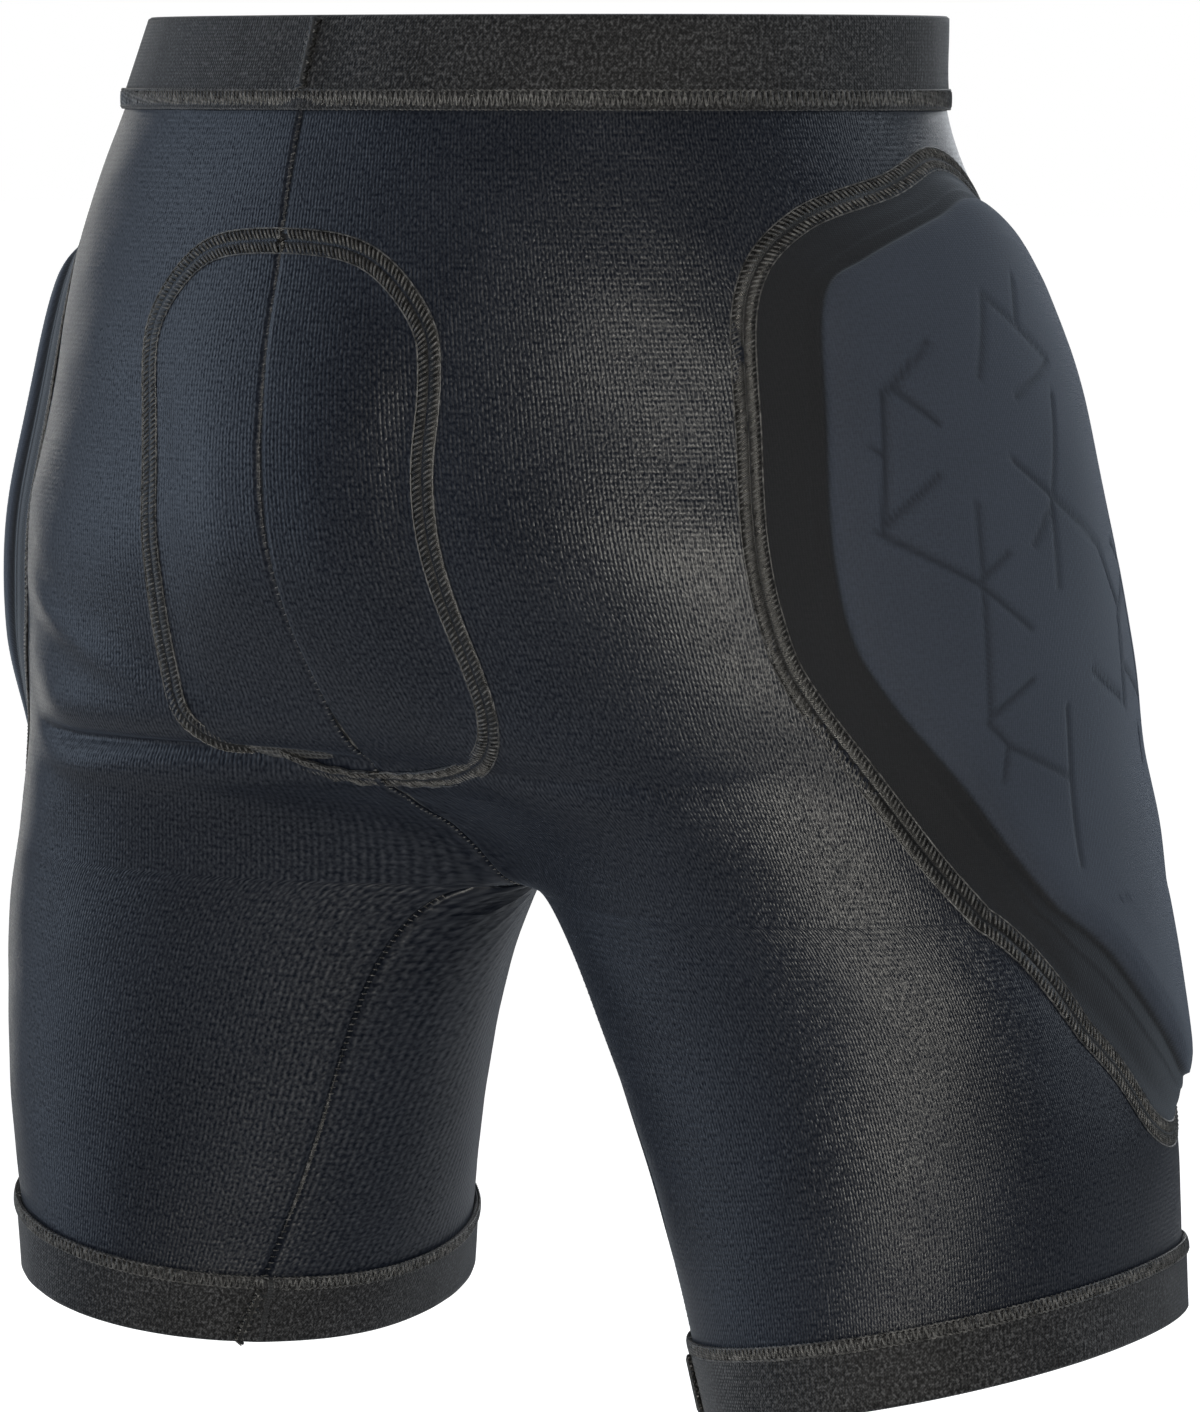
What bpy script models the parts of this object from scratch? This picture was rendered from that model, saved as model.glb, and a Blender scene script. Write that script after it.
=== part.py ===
"""Padded impact shorts: stretch panels, elastics, seams and foam pads, each its own solid.

The wearer faces -Y, the wearer's left is +X and +Z is up. The origin is the middle of
the waist opening, level with the top edge of the waistband, so the shorts hang below it.

Every piece is laid out on one form, the skin of the wearer. A place on the form is
  turn: -1 at the centre front, 0 at the side, 1 at the centre back (below the crotch,
        both ends meet along the inseam);
  down: metres below the top of the waistband, along the leg.
"""

import cmath
import math

import bmesh
import bpy
from mathutils import Vector

# ---------------------------------------------------------------- driving dimensions, metres

LENGTH = 0.430          # waistband top to hem, along the leg
CROTCH = 0.282          # waistband top to crotch
LEVELS = (0.000, 0.030, 0.075, 0.120, 0.165, 0.210, 0.260, 0.310, 0.360, 0.430)
HALF_WIDTH = (0.143, 0.150, 0.170, 0.186, 0.196, 0.2022, 0.208, 0.222, 0.228, 0.2225)
BACK_DEPTH = (0.1065, 0.110, 0.1245, 0.134, 0.1325, 0.111, 0.079, 0.0645, 0.069, 0.0755)
FRONT_DEPTH = (0.1055, 0.105, 0.108, 0.1115, 0.1135, 0.114, 0.112, 0.103, 0.0925, 0.0925)
MIDDLE = (-0.003, 0.0035, -0.0005, -0.006, -0.0065, -0.005, -0.001, 0.0015, -0.0085, -0.018)

RISE_LEVELS = (0.0, 0.020, 0.045, 0.080, 0.120, 0.170, 0.290)
RISE_JOIN = (0.0, 0.046, 0.215, 0.348, 0.541, 0.999, 1.0)   # how far the halves are one oval
ARCH_RADIUS = 0.0225     # of the crotch, seen from the front
LEG_SPREAD = 0.085       # extra slope of the inner leg away from the middle
INSEAM_SWING = 0.12     # how far the inseam turns to the back at the hem, in turns
SWING_POWER = 0.6       # below 1, so it turns most near the crotch

HEM_SLOPE_OUT = 0.178   # the hem stands square to a leg that splays ...
HEM_SLOPE_BACK = -0.100  # ... and leans forward
HEM_SLOPE_FROM = 0.250
HEM_SLOPE_FULL = 0.385

FABRIC = 0.0012
CLEARANCE = 0.0008      # between layers that lie on each other
SEAM_GAP = 0.0004       # between edges that meet

WAIST_WIDTH = 0.030     # of the waist elastic
HEM_WIDTH = 0.024       # of the hem elastic
ELASTIC = 0.0014
LAP = 0.0065            # of the elastic over the panel
THREAD = 0.0006
TAPE_TOP = -CLEARANCE
TAPE_LOW = TAPE_TOP - THREAD
LINING_TOP = -0.0026    # of the tailbone pocket, under the centre tape
FLATLOCK_LOW = FABRIC + CLEARANCE + SEAM_GAP

TAPE_WIDTH = 0.007
FLATLOCK_WIDTH = 0.0075
WAIST_JOIN_WIDTH = 0.006
HEM_JOIN_WIDTH = 0.005
HEM_STITCH_WIDTH = 0.004
JOIN_MARGIN = 0.001     # from a join's stitching to the edge of the elastic
INSEAM_START = 0.012    # of the inseam tape, below the crotch

HIP_PAD = 0.0100        # foam thickness on the hip
# From the seam (0) over the edge of the face (1) to its middle (2), the rings of the hip
# cover and, for each, the share of the foam thickness that is under it.
HIP_BLENDS = (0.03, 0.32, 0.56, 0.90, 1.10, 1.45, 1.75)
HIP_LIFT = (0.0, 0.0, 0.33, 0.50, 1.0, 1.0, 1.0)
HIP_BACK_BLENDS = (0.56, 1.10, 1.60)
HIP_LINING_EDGE = (-0.25,)
WINDOW_BLENDS = (-0.03, 0.5, 1.0, 1.5)
WINDOW_REACH = 0.010
TAIL_SWELL = 0.0065     # how far the tailbone pad lifts the panels
SWELL_START = 0.88      # as a share of the way from the middle of the pad to its seam
SWELL_FULL = 0.60
# Rings of the tailbone pad, from its seam (0) to its middle (1), and the lining's own beyond.
TAIL_BLENDS = (0.24, 0.36, 0.48, 0.72)
TAIL_LINING_EDGE = (-0.02, 0.10)
TAIL_EASE = 0.05        # how much sooner the pad thins out than the panel over it
TAIL_ROOM = 0.0012      # between the pad and the panel over it

WAIST_SPLIT = 0.001     # between the ends of the waist elastic, in turns
HEM_SPLIT = 0.002       # between the ends of a hem elastic, in turns

TURN_LENGTH = 0.35      # of one turn along the surface, roughly
SHARP_ANGLE = 40.0      # degrees; facets that meet more sharply show an edge

AROUND = 32             # facets around one leg
EDGE_CROWDING = 0.40    # how much closer together they are at the inseam
OUTLINE_STEPS = 2       # facets between two outline points
FIRST_ROW = 0.012       # of a panel's facets, below the waist elastic
CROTCH_ROW = 0.0015     # height of the rows next to the crotch
ROWS_ABOVE = 12         # from there up to the first row
ROWS_BELOW = 7          # and down to the hem elastic
CROWDING_ABOVE = 1.5    # how much closer together they are at the crotch
CROWDING_BELOW = 1.4

# Outlines, as (turn, down), clockwise on the wearer's right hip from the top.
HIP_SEAM = (
    (-0.10, 0.046), (0.08, 0.054), (0.273, 0.065), (0.378, 0.088), (0.414, 0.136),
    (0.42, 0.186), (0.388, 0.214), (0.262, 0.260), (0.124, 0.298), (0.026, 0.334),
    (-0.048, 0.361), (-0.165, 0.368), (-0.27, 0.350), (-0.36, 0.301), (-0.45, 0.246),
    (-0.52, 0.195), (-0.535, 0.140), (-0.47, 0.090), (-0.29, 0.060),
)
HIP_FACE = (
    (-0.10, 0.0615), (0.04, 0.067), (0.193, 0.078), (0.277, 0.091), (0.316, 0.136),
    (0.324, 0.184), (0.285, 0.210), (0.173, 0.243), (0.078, 0.270), (-0.024, 0.295),
    (-0.11, 0.328), (-0.18, 0.349), (-0.245, 0.332), (-0.295, 0.291), (-0.37, 0.244),
    (-0.43, 0.195), (-0.44, 0.140), (-0.39, 0.100), (-0.265, 0.077),
)
HIP_MIDDLE = (-0.06, 0.180)

# Half of the tailbone outline, as (turns away from the centre back, down).
TAIL_HALF = (
    (0.0, 0.0715), (0.10, 0.0735), (0.16, 0.081), (0.205, 0.096), (0.212, 0.112),
    (0.195, 0.145), (0.190, 0.175), (0.191, 0.205), (0.183, 0.222), (0.15, 0.2335),
    (0.09, 0.2415), (0.0, 0.245),
)
TAIL_MIDDLE = (0.0, 0.158)

PART_NAME = "padded_impact_shorts"
LEFT = 1
RIGHT = -1
SIDES = (("left", LEFT), ("right", RIGHT))

SLATE = (0.050, 0.058, 0.078)
NAVY = (0.022, 0.027, 0.040)
CHARCOAL = (0.055, 0.056, 0.062)
BLACK = (0.012, 0.012, 0.014)
FOAM = (0.030, 0.032, 0.036)
MESH_GREY = (0.045, 0.048, 0.055)


# ---------------------------------------------------------------- the form

def ease(start, stop, value):
    """0 before start, 1 after stop, and a smooth rise between them."""
    t = min(max((value - start) / (stop - start), 0.0), 1.0)
    return t * t * (3.0 - 2.0 * t)


def along(levels, values, level):
    """Smooth curve through values at levels."""
    level = min(max(level, levels[0]), levels[-1])
    steps = [levels[i + 1] - levels[i] for i in range(len(levels) - 1)]
    slopes = [(values[i + 1] - values[i]) / steps[i] for i in range(len(steps))]
    tangents = [slopes[0]]
    for i in range(1, len(steps)):
        weighted = slopes[i - 1] * steps[i] + slopes[i] * steps[i - 1]
        tangents.append(weighted / (steps[i - 1] + steps[i]))
    tangents.append(slopes[-1])
    i = 0
    while i < len(steps) - 1 and level > levels[i + 1]:
        i += 1
    t = (level - levels[i]) / steps[i]
    value = (1 + 2 * t) * (1 - t) ** 2 * values[i] + t * t * (3 - 2 * t) * values[i + 1]
    return value + steps[i] * (t * (1 - t) ** 2 * tangents[i] + t * t * (t - 1) * tangents[i + 1])


def inner_square(down):
    """Square of half the gap between the legs; below zero where the halves are one oval."""
    if down > CROTCH:
        below = down - CROTCH
        return 2.0 * ARCH_RADIUS * below + (LEG_SPREAD * below) ** 2
    width = along(LEVELS, HALF_WIDTH, down)
    return -width * width * along(RISE_LEVELS, RISE_JOIN, CROTCH - down)


def form_point(side, turn, down):
    """Point of the form. Each level is half of a Cassini oval, which parts into two legs."""
    width = along(LEVELS, HALF_WIDTH, down)
    inner = inner_square(down)
    centre_square = (width * width + inner) / 2.0
    spread = (width * width - inner) / 2.0
    swing = INSEAM_SWING * max((down - CROTCH) / (LENGTH - CROTCH), 0.0) ** SWING_POWER
    oval = cmath.sqrt(centre_square + spread * cmath.exp(1j * math.pi * (turn - swing)))
    if spread < 2.0 * centre_square:
        deepest = spread / (2.0 * math.sqrt(centre_square))
    else:
        deepest = math.sqrt(spread - centre_square)
    depths = BACK_DEPTH if oval.imag > 0 else FRONT_DEPTH
    reach = along(LEVELS, depths, down) * oval.imag / deepest
    x = max(oval.real, 0.0)
    slope = ease(HEM_SLOPE_FROM, HEM_SLOPE_FULL, down)
    centre_x = math.sqrt(max(centre_square, 0.0))
    z = -down + slope * (HEM_SLOPE_OUT * (x - centre_x) + HEM_SLOPE_BACK * reach)
    return Vector((side * x, along(LEVELS, MIDDLE, down) + reach, z))


def form_normal(side, turn, down):
    """Unit vector out of the form."""
    small_turn = 0.004
    small_down = 0.0015
    inner = 1.0 - small_turn
    turn = min(max(turn, -inner), inner)
    across = form_point(side, turn + small_turn, down) - form_point(side, turn - small_turn, down)
    low = min(down + small_down, LENGTH)
    lengthwise = form_point(side, turn, low) - form_point(side, turn, max(down - small_down, 0.0))
    return (across.cross(lengthwise) * -side).normalized()


def level_normal(side, turn, down):
    """The part of the normal that lies in the plane of an elastic's edge."""
    slope = ease(HEM_SLOPE_FROM, HEM_SLOPE_FULL, down)
    axis = Vector((-side * slope * HEM_SLOPE_OUT, -slope * HEM_SLOPE_BACK, 1.0)).normalized()
    normal = form_normal(side, turn, down)
    return (normal - axis * normal.dot(axis)).normalized()


# ---------------------------------------------------------------- outlines on the form

def closed_curve(points, steps):
    """Smooth closed curve through points, with steps points for each."""
    curve = []
    count = len(points)
    for i in range(count):
        before, here, after, beyond = (Vector(points[(i + k) % count]) for k in (-1, 0, 1, 2))
        for step in range(steps):
            t = step / steps
            curve.append(0.5 * (2 * here + (after - before) * t
                                + (2 * before - 5 * here + 4 * after - beyond) * t * t
                                + (3 * here - before - 3 * after + beyond) * t ** 3))
    return curve


def tail_outline():
    """Whole tailbone outline; its first number is below zero on the wearer's right."""
    left = list(TAIL_HALF)
    right = [(-turn, down) for turn, down in TAIL_HALF[-2:0:-1]]
    return closed_curve(left + right, OUTLINE_STEPS)


def hip_place(side):
    """Reads an outline point on one hip as (side, turn, down)."""
    return lambda point: (side, point.x, point.y)


def tail_place(point):
    """Reads a tailbone outline point as (side, turn, down)."""
    return (LEFT if point.x >= 0 else RIGHT, 1.0 - abs(point.x), point.y)


def lifted(place, offset):
    side, turn, down = place
    return form_point(side, turn, down) + form_normal(side, turn, down) * offset


def outline_share(outline, middle, point):
    """How far a point is from the middle, as a share of the way to the outline."""
    target = Vector(((point[0] - middle[0]) * TURN_LENGTH, point[1] - middle[1]))
    if target.length < 1e-6:
        return 0.0
    best = 1e9
    for i, corner in enumerate(outline):
        after = outline[(i + 1) % len(outline)]
        a = Vector(((corner.x - middle[0]) * TURN_LENGTH, corner.y - middle[1]))
        b = Vector(((after.x - middle[0]) * TURN_LENGTH, after.y - middle[1]))
        det = a.x * (b.y - a.y) - a.y * (b.x - a.x)
        if abs(det) < 1e-12:
            continue
        cross_a = target.x * a.y - target.y * a.x
        cross_b = target.x * b.y - target.y * b.x
        if cross_a * cross_b > 0:
            continue
        share = (target.x * (b.y - a.y) - target.y * (b.x - a.x)) / det
        if share > 0:
            best = min(best, share)
    return best


TAIL_OUTLINE = tail_outline()


def tail_swell(side, turn, down):
    """How far the tailbone pad lifts a panel off the form."""
    share = outline_share(TAIL_OUTLINE, TAIL_MIDDLE, ((1.0 - turn) * side, down))
    return TAIL_SWELL * ease(SWELL_START, SWELL_FULL, share)


# ---------------------------------------------------------------- meshes

def new_object(name, bm, material):
    bmesh.ops.recalc_face_normals(bm, faces=bm.faces)
    mesh = bpy.data.meshes.new(name)
    bm.to_mesh(mesh)
    bm.free()
    obj = bpy.data.objects.new(name, mesh)
    obj.data.materials.append(material)
    obj.data.shade_smooth()
    obj.data.set_sharp_from_angle(angle=math.radians(SHARP_ANGLE))
    PARTS.objects.link(obj)
    return obj


def solid_grid(name, rows_out, rows_in, material, closed=False):
    """Closed solid between two grids of points; closed joins the last column to the first."""
    bm = bmesh.new()
    outer = [[bm.verts.new(p) for p in row] for row in rows_out]
    inner = [[bm.verts.new(p) for p in row] for row in rows_in]
    columns = len(outer[0])
    last = columns if closed else columns - 1
    for i in range(len(outer) - 1):
        for j in range(last):
            k = (j + 1) % columns
            bm.faces.new((outer[i][j], outer[i][k], outer[i + 1][k], outer[i + 1][j]))
            bm.faces.new((inner[i][j], inner[i + 1][j], inner[i + 1][k], inner[i][k]))
    for j in range(last):
        k = (j + 1) % columns
        bm.faces.new((outer[0][k], outer[0][j], inner[0][j], inner[0][k]))
        bm.faces.new((outer[-1][j], outer[-1][k], inner[-1][k], inner[-1][j]))
    if not closed:
        for i in range(len(outer) - 1):
            bm.faces.new((outer[i][0], outer[i + 1][0], inner[i + 1][0], inner[i][0]))
            bm.faces.new((outer[i + 1][-1], outer[i][-1], inner[i][-1], inner[i + 1][-1]))
    return new_object(name, bm, material)


def solid_patch(name, rings_out, rings_in, centre_out, centre_in, material):
    """Closed solid between two sets of rings, each set closed by a fan to its centre."""
    bm = bmesh.new()
    outer = [[bm.verts.new(p) for p in ring] for ring in rings_out]
    inner = [[bm.verts.new(p) for p in ring] for ring in rings_in]
    top = bm.verts.new(centre_out)
    under = bm.verts.new(centre_in)
    count = len(outer[0])
    for j in range(count):
        k = (j + 1) % count
        for i in range(len(outer) - 1):
            bm.faces.new((outer[i][j], outer[i][k], outer[i + 1][k], outer[i + 1][j]))
        for i in range(len(inner) - 1):
            bm.faces.new((inner[i][j], inner[i + 1][j], inner[i + 1][k], inner[i][k]))
        bm.faces.new((outer[-1][j], outer[-1][k], top))
        bm.faces.new((inner[-1][k], inner[-1][j], under))
        bm.faces.new((outer[0][k], outer[0][j], inner[0][j], inner[0][k]))
    return new_object(name, bm, material)


def mix_rings(seam, face, middle, blends):
    """Rings from the seam (0) to the face outline (1) and on to the middle (2)."""
    rings = []
    for blend in blends:
        if blend <= 1.0:
            rings.append([a.lerp(b, blend) for a, b in zip(seam, face)])
        else:
            rings.append([b.lerp(Vector(middle), blend - 1.0) for b in face])
    return rings


def patch(name, place, outer, inner, middle, material):
    """Patch on the form; outer and inner hold (ring, height) pairs from the edge inwards."""
    rings_out = [[lifted(place(p), height) for p in ring] for ring, height in outer]
    rings_in = [[lifted(place(p), height) for p in ring] for ring, height in inner]
    centre = place(Vector(middle))
    top = lifted(centre, outer[-1][1])
    under = lifted(centre, inner[-1][1])
    return solid_patch(name, rings_out, rings_in, top, under, material)


def hip_rings(blends, heights):
    rings = mix_rings(HIP_SEAM_CURVE, HIP_FACE_CURVE, HIP_MIDDLE, blends)
    return list(zip(rings, heights))


def tail_rings(blends, heights):
    middle = [Vector(TAIL_MIDDLE)] * len(TAIL_OUTLINE)
    return list(zip(mix_rings(TAIL_OUTLINE, middle, TAIL_MIDDLE, blends), heights))


def ribbon(name, points, across, normals, width, low, high, material, closed=False):
    """Flat strip of thread or tape along points."""
    rows_out = []
    rows_in = []
    for shift in (-0.5, 0.5):
        edge = [p + a * (width * shift) for p, a in zip(points, across)]
        rows_out.append([p + n * high for p, n in zip(edge, normals)])
        rows_in.append([p + n * low for p, n in zip(edge, normals)])
    return solid_grid(name, rows_out, rows_in, material, closed)


# ---------------------------------------------------------------- pieces

def make_material(name, color, roughness):
    material = bpy.data.materials.new(name)
    material.use_nodes = True
    shader = material.node_tree.nodes["Principled BSDF"]
    shader.inputs["Base Color"].default_value = (*color, 1.0)
    shader.inputs["Roughness"].default_value = roughness
    shader.inputs["Metallic"].default_value = 0.0
    return material


def panel_levels():
    """Rows of a body panel, closer together at the crotch, where it turns sharply."""
    top = WAIST_WIDTH - LAP
    bottom = LENGTH - HEM_WIDTH + LAP
    start = WAIST_WIDTH + FIRST_ROW
    fall = CROTCH - CROTCH_ROW - start
    rows = [top, WAIST_WIDTH]
    for i in range(ROWS_ABOVE):
        rows.append(start + fall * (1.0 - (1.0 - i / ROWS_ABOVE) ** CROWDING_ABOVE))
    rows += [CROTCH - CROTCH_ROW, CROTCH]
    drop = bottom - CROTCH - CROTCH_ROW
    for i in range(ROWS_BELOW + 1):
        rows.append(CROTCH + CROTCH_ROW + drop * (i / ROWS_BELOW) ** CROWDING_BELOW)
    return rows


def spaced_turns(front, back):
    """Turns around a leg or half the body, closer together towards both ends."""
    turns = []
    for i in range(AROUND + 1):
        t = 2.0 * i / AROUND - 1.0
        t = (1.0 - EDGE_CROWDING) * t + EDGE_CROWDING * math.sin(math.pi / 2 * t)
        turns.append(front + (back - front) * (t + 1.0) / 2.0)
    return turns


def edge_turn(side, down, edge):
    """Turn nearest edge (-1 or 1) that keeps half a seam gap from the panel's other edge."""
    inset = 0.0
    step = 0.001
    seam = form_point(side, edge, down)
    while (form_point(side, edge * (1.0 - inset), down) - seam).length < SEAM_GAP:
        inset += step
    return edge * (1.0 - inset)


def body_panel(label, side, material):
    rows_out = []
    rows_in = []
    for down in panel_levels():
        front = edge_turn(side, down, -1)
        back = edge_turn(side, down, 1)
        turns = spaced_turns(front, back)
        swells = [tail_swell(side, turn, down) for turn in turns]
        rows_out.append([lifted((side, t, down), s + FABRIC) for t, s in zip(turns, swells)])
        rows_in.append([lifted((side, t, down), s) for t, s in zip(turns, swells)])
    for row in rows_out + rows_in:
        for point in row:
            point.x = side * max(side * point.x, SEAM_GAP / 2)
    panel = solid_grid(f"{label}_body_panel", rows_out, rows_in, material)
    window = hip_window(label, side)
    cut = panel.modifiers.new("hip_window", "BOOLEAN")
    cut.operation = "DIFFERENCE"
    cut.object = window
    return panel


def hip_window(label, side):
    """Cutter for the opening that the hip cover fills."""
    outer = hip_rings(WINDOW_BLENDS, [WINDOW_REACH] * len(WINDOW_BLENDS))
    inner = hip_rings(WINDOW_BLENDS, [-WINDOW_REACH] * len(WINDOW_BLENDS))
    window = patch(f"{label}_hip_window", hip_place(side), outer, inner, HIP_MIDDLE, NO_MATERIAL)
    PARTS.objects.unlink(window)
    CUTTERS.objects.link(window)
    window.hide_render = True
    window.display_type = "WIRE"
    return window


def hip_cover(label, side, material):
    inside = [share * (HIP_PAD + CLEARANCE) for share in HIP_LIFT]
    outside = [height + FABRIC for height in inside]
    return patch(f"{label}_hip_cover", hip_place(side), hip_rings(HIP_BLENDS, outside),
                 hip_rings(HIP_BLENDS, inside), HIP_MIDDLE, material)


def hip_pad(label, side, material):
    """Foam: a thin flange that rises to a thick face."""
    outside = [share * (HIP_PAD + CLEARANCE) - CLEARANCE for share in HIP_LIFT]
    outer = hip_rings(HIP_BLENDS, outside)[2:]
    inner = hip_rings(HIP_BACK_BLENDS, [0.0] * len(HIP_BACK_BLENDS))
    return patch(f"{label}_hip_pad", hip_place(side), outer, inner, HIP_MIDDLE, material)


def hip_lining(label, side, material):
    blends = HIP_LINING_EDGE + HIP_BACK_BLENDS
    outer = hip_rings(blends, [-CLEARANCE] * len(blends))
    inner = hip_rings(blends, [-CLEARANCE - THREAD] * len(blends))
    return patch(f"{label}_hip_pocket_lining", hip_place(side), outer, inner, HIP_MIDDLE, material)


def seam_band(name, curve, place, material):
    """Flatlock seam along a closed outline."""
    points = []
    across = []
    normals = []
    count = len(curve)
    for i, point in enumerate(curve):
        side, turn, down = place(point)
        here = form_point(side, turn, down)
        normal = form_normal(side, turn, down)
        ahead = form_point(*place(curve[(i + 1) % count]))
        behind = form_point(*place(curve[i - 1]))
        points.append(here)
        normals.append(normal)
        across.append((ahead - behind).cross(normal).normalized())
    return ribbon(name, points, across, normals, FLATLOCK_WIDTH, FLATLOCK_LOW,
                  FLATLOCK_LOW + THREAD, material, closed=True)


def tail_pieces(pad_material, lining_material, thread_material):
    """Foam and lining behind the centre tape, and the seam that holds them to the panels."""
    tops = []
    for blend in TAIL_BLENDS:
        swell = TAIL_SWELL * ease(SWELL_START, SWELL_FULL, 1.0 - blend + TAIL_EASE)
        tops.append(swell + TAPE_LOW - TAIL_ROOM)
    low = [TAPE_LOW - CLEARANCE / 4] * len(TAIL_BLENDS)
    patch("tailbone_pad", tail_place, tail_rings(TAIL_BLENDS, tops), tail_rings(TAIL_BLENDS, low),
          TAIL_MIDDLE, pad_material)
    blends = TAIL_LINING_EDGE + TAIL_BLENDS
    top = [LINING_TOP] * len(blends)
    low = [LINING_TOP - THREAD] * len(blends)
    patch("tailbone_pocket_lining", tail_place, tail_rings(blends, top), tail_rings(blends, low),
          TAIL_MIDDLE, lining_material)
    seam_band("tailbone_flatlock", TAIL_OUTLINE, tail_place, thread_material)


def elastic_ring(name, side_turns, levels, low, high, material):
    """Band of elastic or thread around the body or a leg, with flat edges."""
    rows_out = []
    rows_in = []
    for down in levels:
        places = [(side, turn, down) for side, turn in side_turns]
        points = [form_point(*place) for place in places]
        normals = [level_normal(*place) for place in places]
        rows_out.append([p + n * high for p, n in zip(points, normals)])
        rows_in.append([p + n * low for p, n in zip(points, normals)])
    return solid_grid(name, rows_out, rows_in, material)


def body_turns(gap):
    """Places around the whole waist, from the centre back round the front and back again."""
    turns = spaced_turns(-1.0, 1.0 - gap)
    left = [(LEFT, turn) for turn in reversed(turns)]
    right = [(RIGHT, turn) for turn in turns[1:]]
    return left + right


def leg_turns(side, gap):
    return [(side, turn) for turn in spaced_turns(gap - 1.0, 1.0 - gap)]


def stitch_bar(name, place, width, top, bottom, low, material):
    """Zigzag joining the two ends of an elastic, as one thin bar."""
    side, turn = place
    levels = (top, bottom)
    points = [form_point(side, turn, down) for down in levels]
    normals = [level_normal(side, turn, down) for down in levels]
    across = [n.cross(points[0] - points[1]).normalized() for n in normals]
    return ribbon(name, points, across, normals, width, low, low + THREAD, material)


def centre_tape(material):
    """Tape inside the centre seam, from the back of the waistband under the crotch to the front."""
    fall = [down for down in panel_levels() if WAIST_WIDTH < down < CROTCH]
    path = [(1.0, down) for down in fall] + [(-1.0, down) for down in reversed(fall)]
    points = []
    normals = []
    for turn, down in path:
        normal = form_normal(LEFT, turn, down)
        normal.x = 0.0
        normal.normalize()
        point = form_point(LEFT, turn, down)
        point.x = 0.0
        points.append(point + normal * tail_swell(LEFT, turn, down))
        normals.append(normal)
    across = [Vector((1.0, 0.0, 0.0))] * len(points)
    return ribbon("centre_seam_tape", points, across, normals, TAPE_WIDTH, TAPE_LOW, TAPE_TOP,
                  material)


def inseam_tape(label, side, material):
    levels = [down for down in panel_levels() if CROTCH + INSEAM_START < down < LENGTH - HEM_WIDTH]
    last = len(levels) - 1
    points = [form_point(side, 1.0, down) for down in levels]
    normals = [form_normal(side, 1.0, down) for down in levels]
    across = []
    for i, normal in enumerate(normals):
        ahead = points[min(i + 1, last)] - points[max(i - 1, 0)]
        across.append(ahead.cross(normal).normalized())
    return ribbon(f"{label}_inseam_tape", points, across, normals, TAPE_WIDTH, TAPE_LOW, TAPE_TOP,
                  material)


def waist_pieces(elastic_material, thread_material):
    low = FABRIC + CLEARANCE
    high = low + ELASTIC
    turns = body_turns(WAIST_SPLIT)
    lap_top = WAIST_WIDTH - LAP
    elastic_ring("waistband_elastic", turns, (0.0, lap_top, WAIST_WIDTH), low, high,
                 elastic_material)
    stitch_low = high + SEAM_GAP
    elastic_ring("waist_coverstitch", turns, (lap_top, WAIST_WIDTH), stitch_low,
                 stitch_low + THREAD, thread_material)
    stitch_bar("waistband_join_stitch", (LEFT, 1.0), WAIST_JOIN_WIDTH, JOIN_MARGIN,
               lap_top - SEAM_GAP, stitch_low, thread_material)


def hem_pieces(label, side, elastic_material, thread_material):
    low = FABRIC + CLEARANCE
    high = low + ELASTIC
    top = LENGTH - HEM_WIDTH
    turns = leg_turns(side, HEM_SPLIT)
    stitch_end = top + HEM_STITCH_WIDTH
    elastic_ring(f"{label}_hem_elastic", turns, (top, stitch_end, LENGTH), low, high,
                 elastic_material)
    stitch_low = high + SEAM_GAP
    elastic_ring(f"{label}_hem_coverstitch", turns, (top, stitch_end), stitch_low,
                 stitch_low + THREAD, thread_material)
    stitch_bar(f"{label}_hem_join_stitch", (side, 1.0), HEM_JOIN_WIDTH, stitch_end + SEAM_GAP,
               LENGTH - JOIN_MARGIN, stitch_low, thread_material)


def build():
    knit = make_material("stretch_knit", NAVY, 0.55)
    cover = make_material("cover_knit", SLATE, 0.75)
    elastic = make_material("elastic", CHARCOAL, 0.80)
    thread = make_material("thread", BLACK, 0.60)
    foam = make_material("foam", FOAM, 0.90)
    lining = make_material("lining_mesh", MESH_GREY, 0.85)
    waist_pieces(elastic, thread)
    centre_tape(thread)
    tail_pieces(foam, lining, thread)
    for label, side in SIDES:
        body_panel(label, side, knit)
        hip_cover(label, side, cover)
        hip_pad(label, side, foam)
        hip_lining(label, side, lining)
        seam_band(f"{label}_hip_flatlock", HIP_SEAM_CURVE, hip_place(side), thread)
        inseam_tape(label, side, thread)
        hem_pieces(label, side, elastic, thread)


for old in list(bpy.data.objects):
    bpy.data.objects.remove(old)
PARTS = bpy.data.collections.new(PART_NAME)
CUTTERS = bpy.data.collections.new("cutters")
bpy.context.scene.collection.children.link(PARTS)
bpy.context.scene.collection.children.link(CUTTERS)
NO_MATERIAL = bpy.data.materials.new("cutter")
HIP_SEAM_CURVE = closed_curve(HIP_SEAM, OUTLINE_STEPS)
HIP_FACE_CURVE = closed_curve(HIP_FACE, OUTLINE_STEPS)
build()
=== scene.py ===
"""Looks of the padded impact shorts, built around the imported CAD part.

The wearer faces -Y and the wearer's left is +X. Every piece is laid out on one form, the
skin of the wearer, by three numbers: side (1 left, -1 right), turn (-1 centre front,
0 side, 1 centre back or inseam) and down (metres below the top of the waistband).
"""

import math

import bpy
import numpy as np
from mathutils import Matrix, Vector


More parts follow.
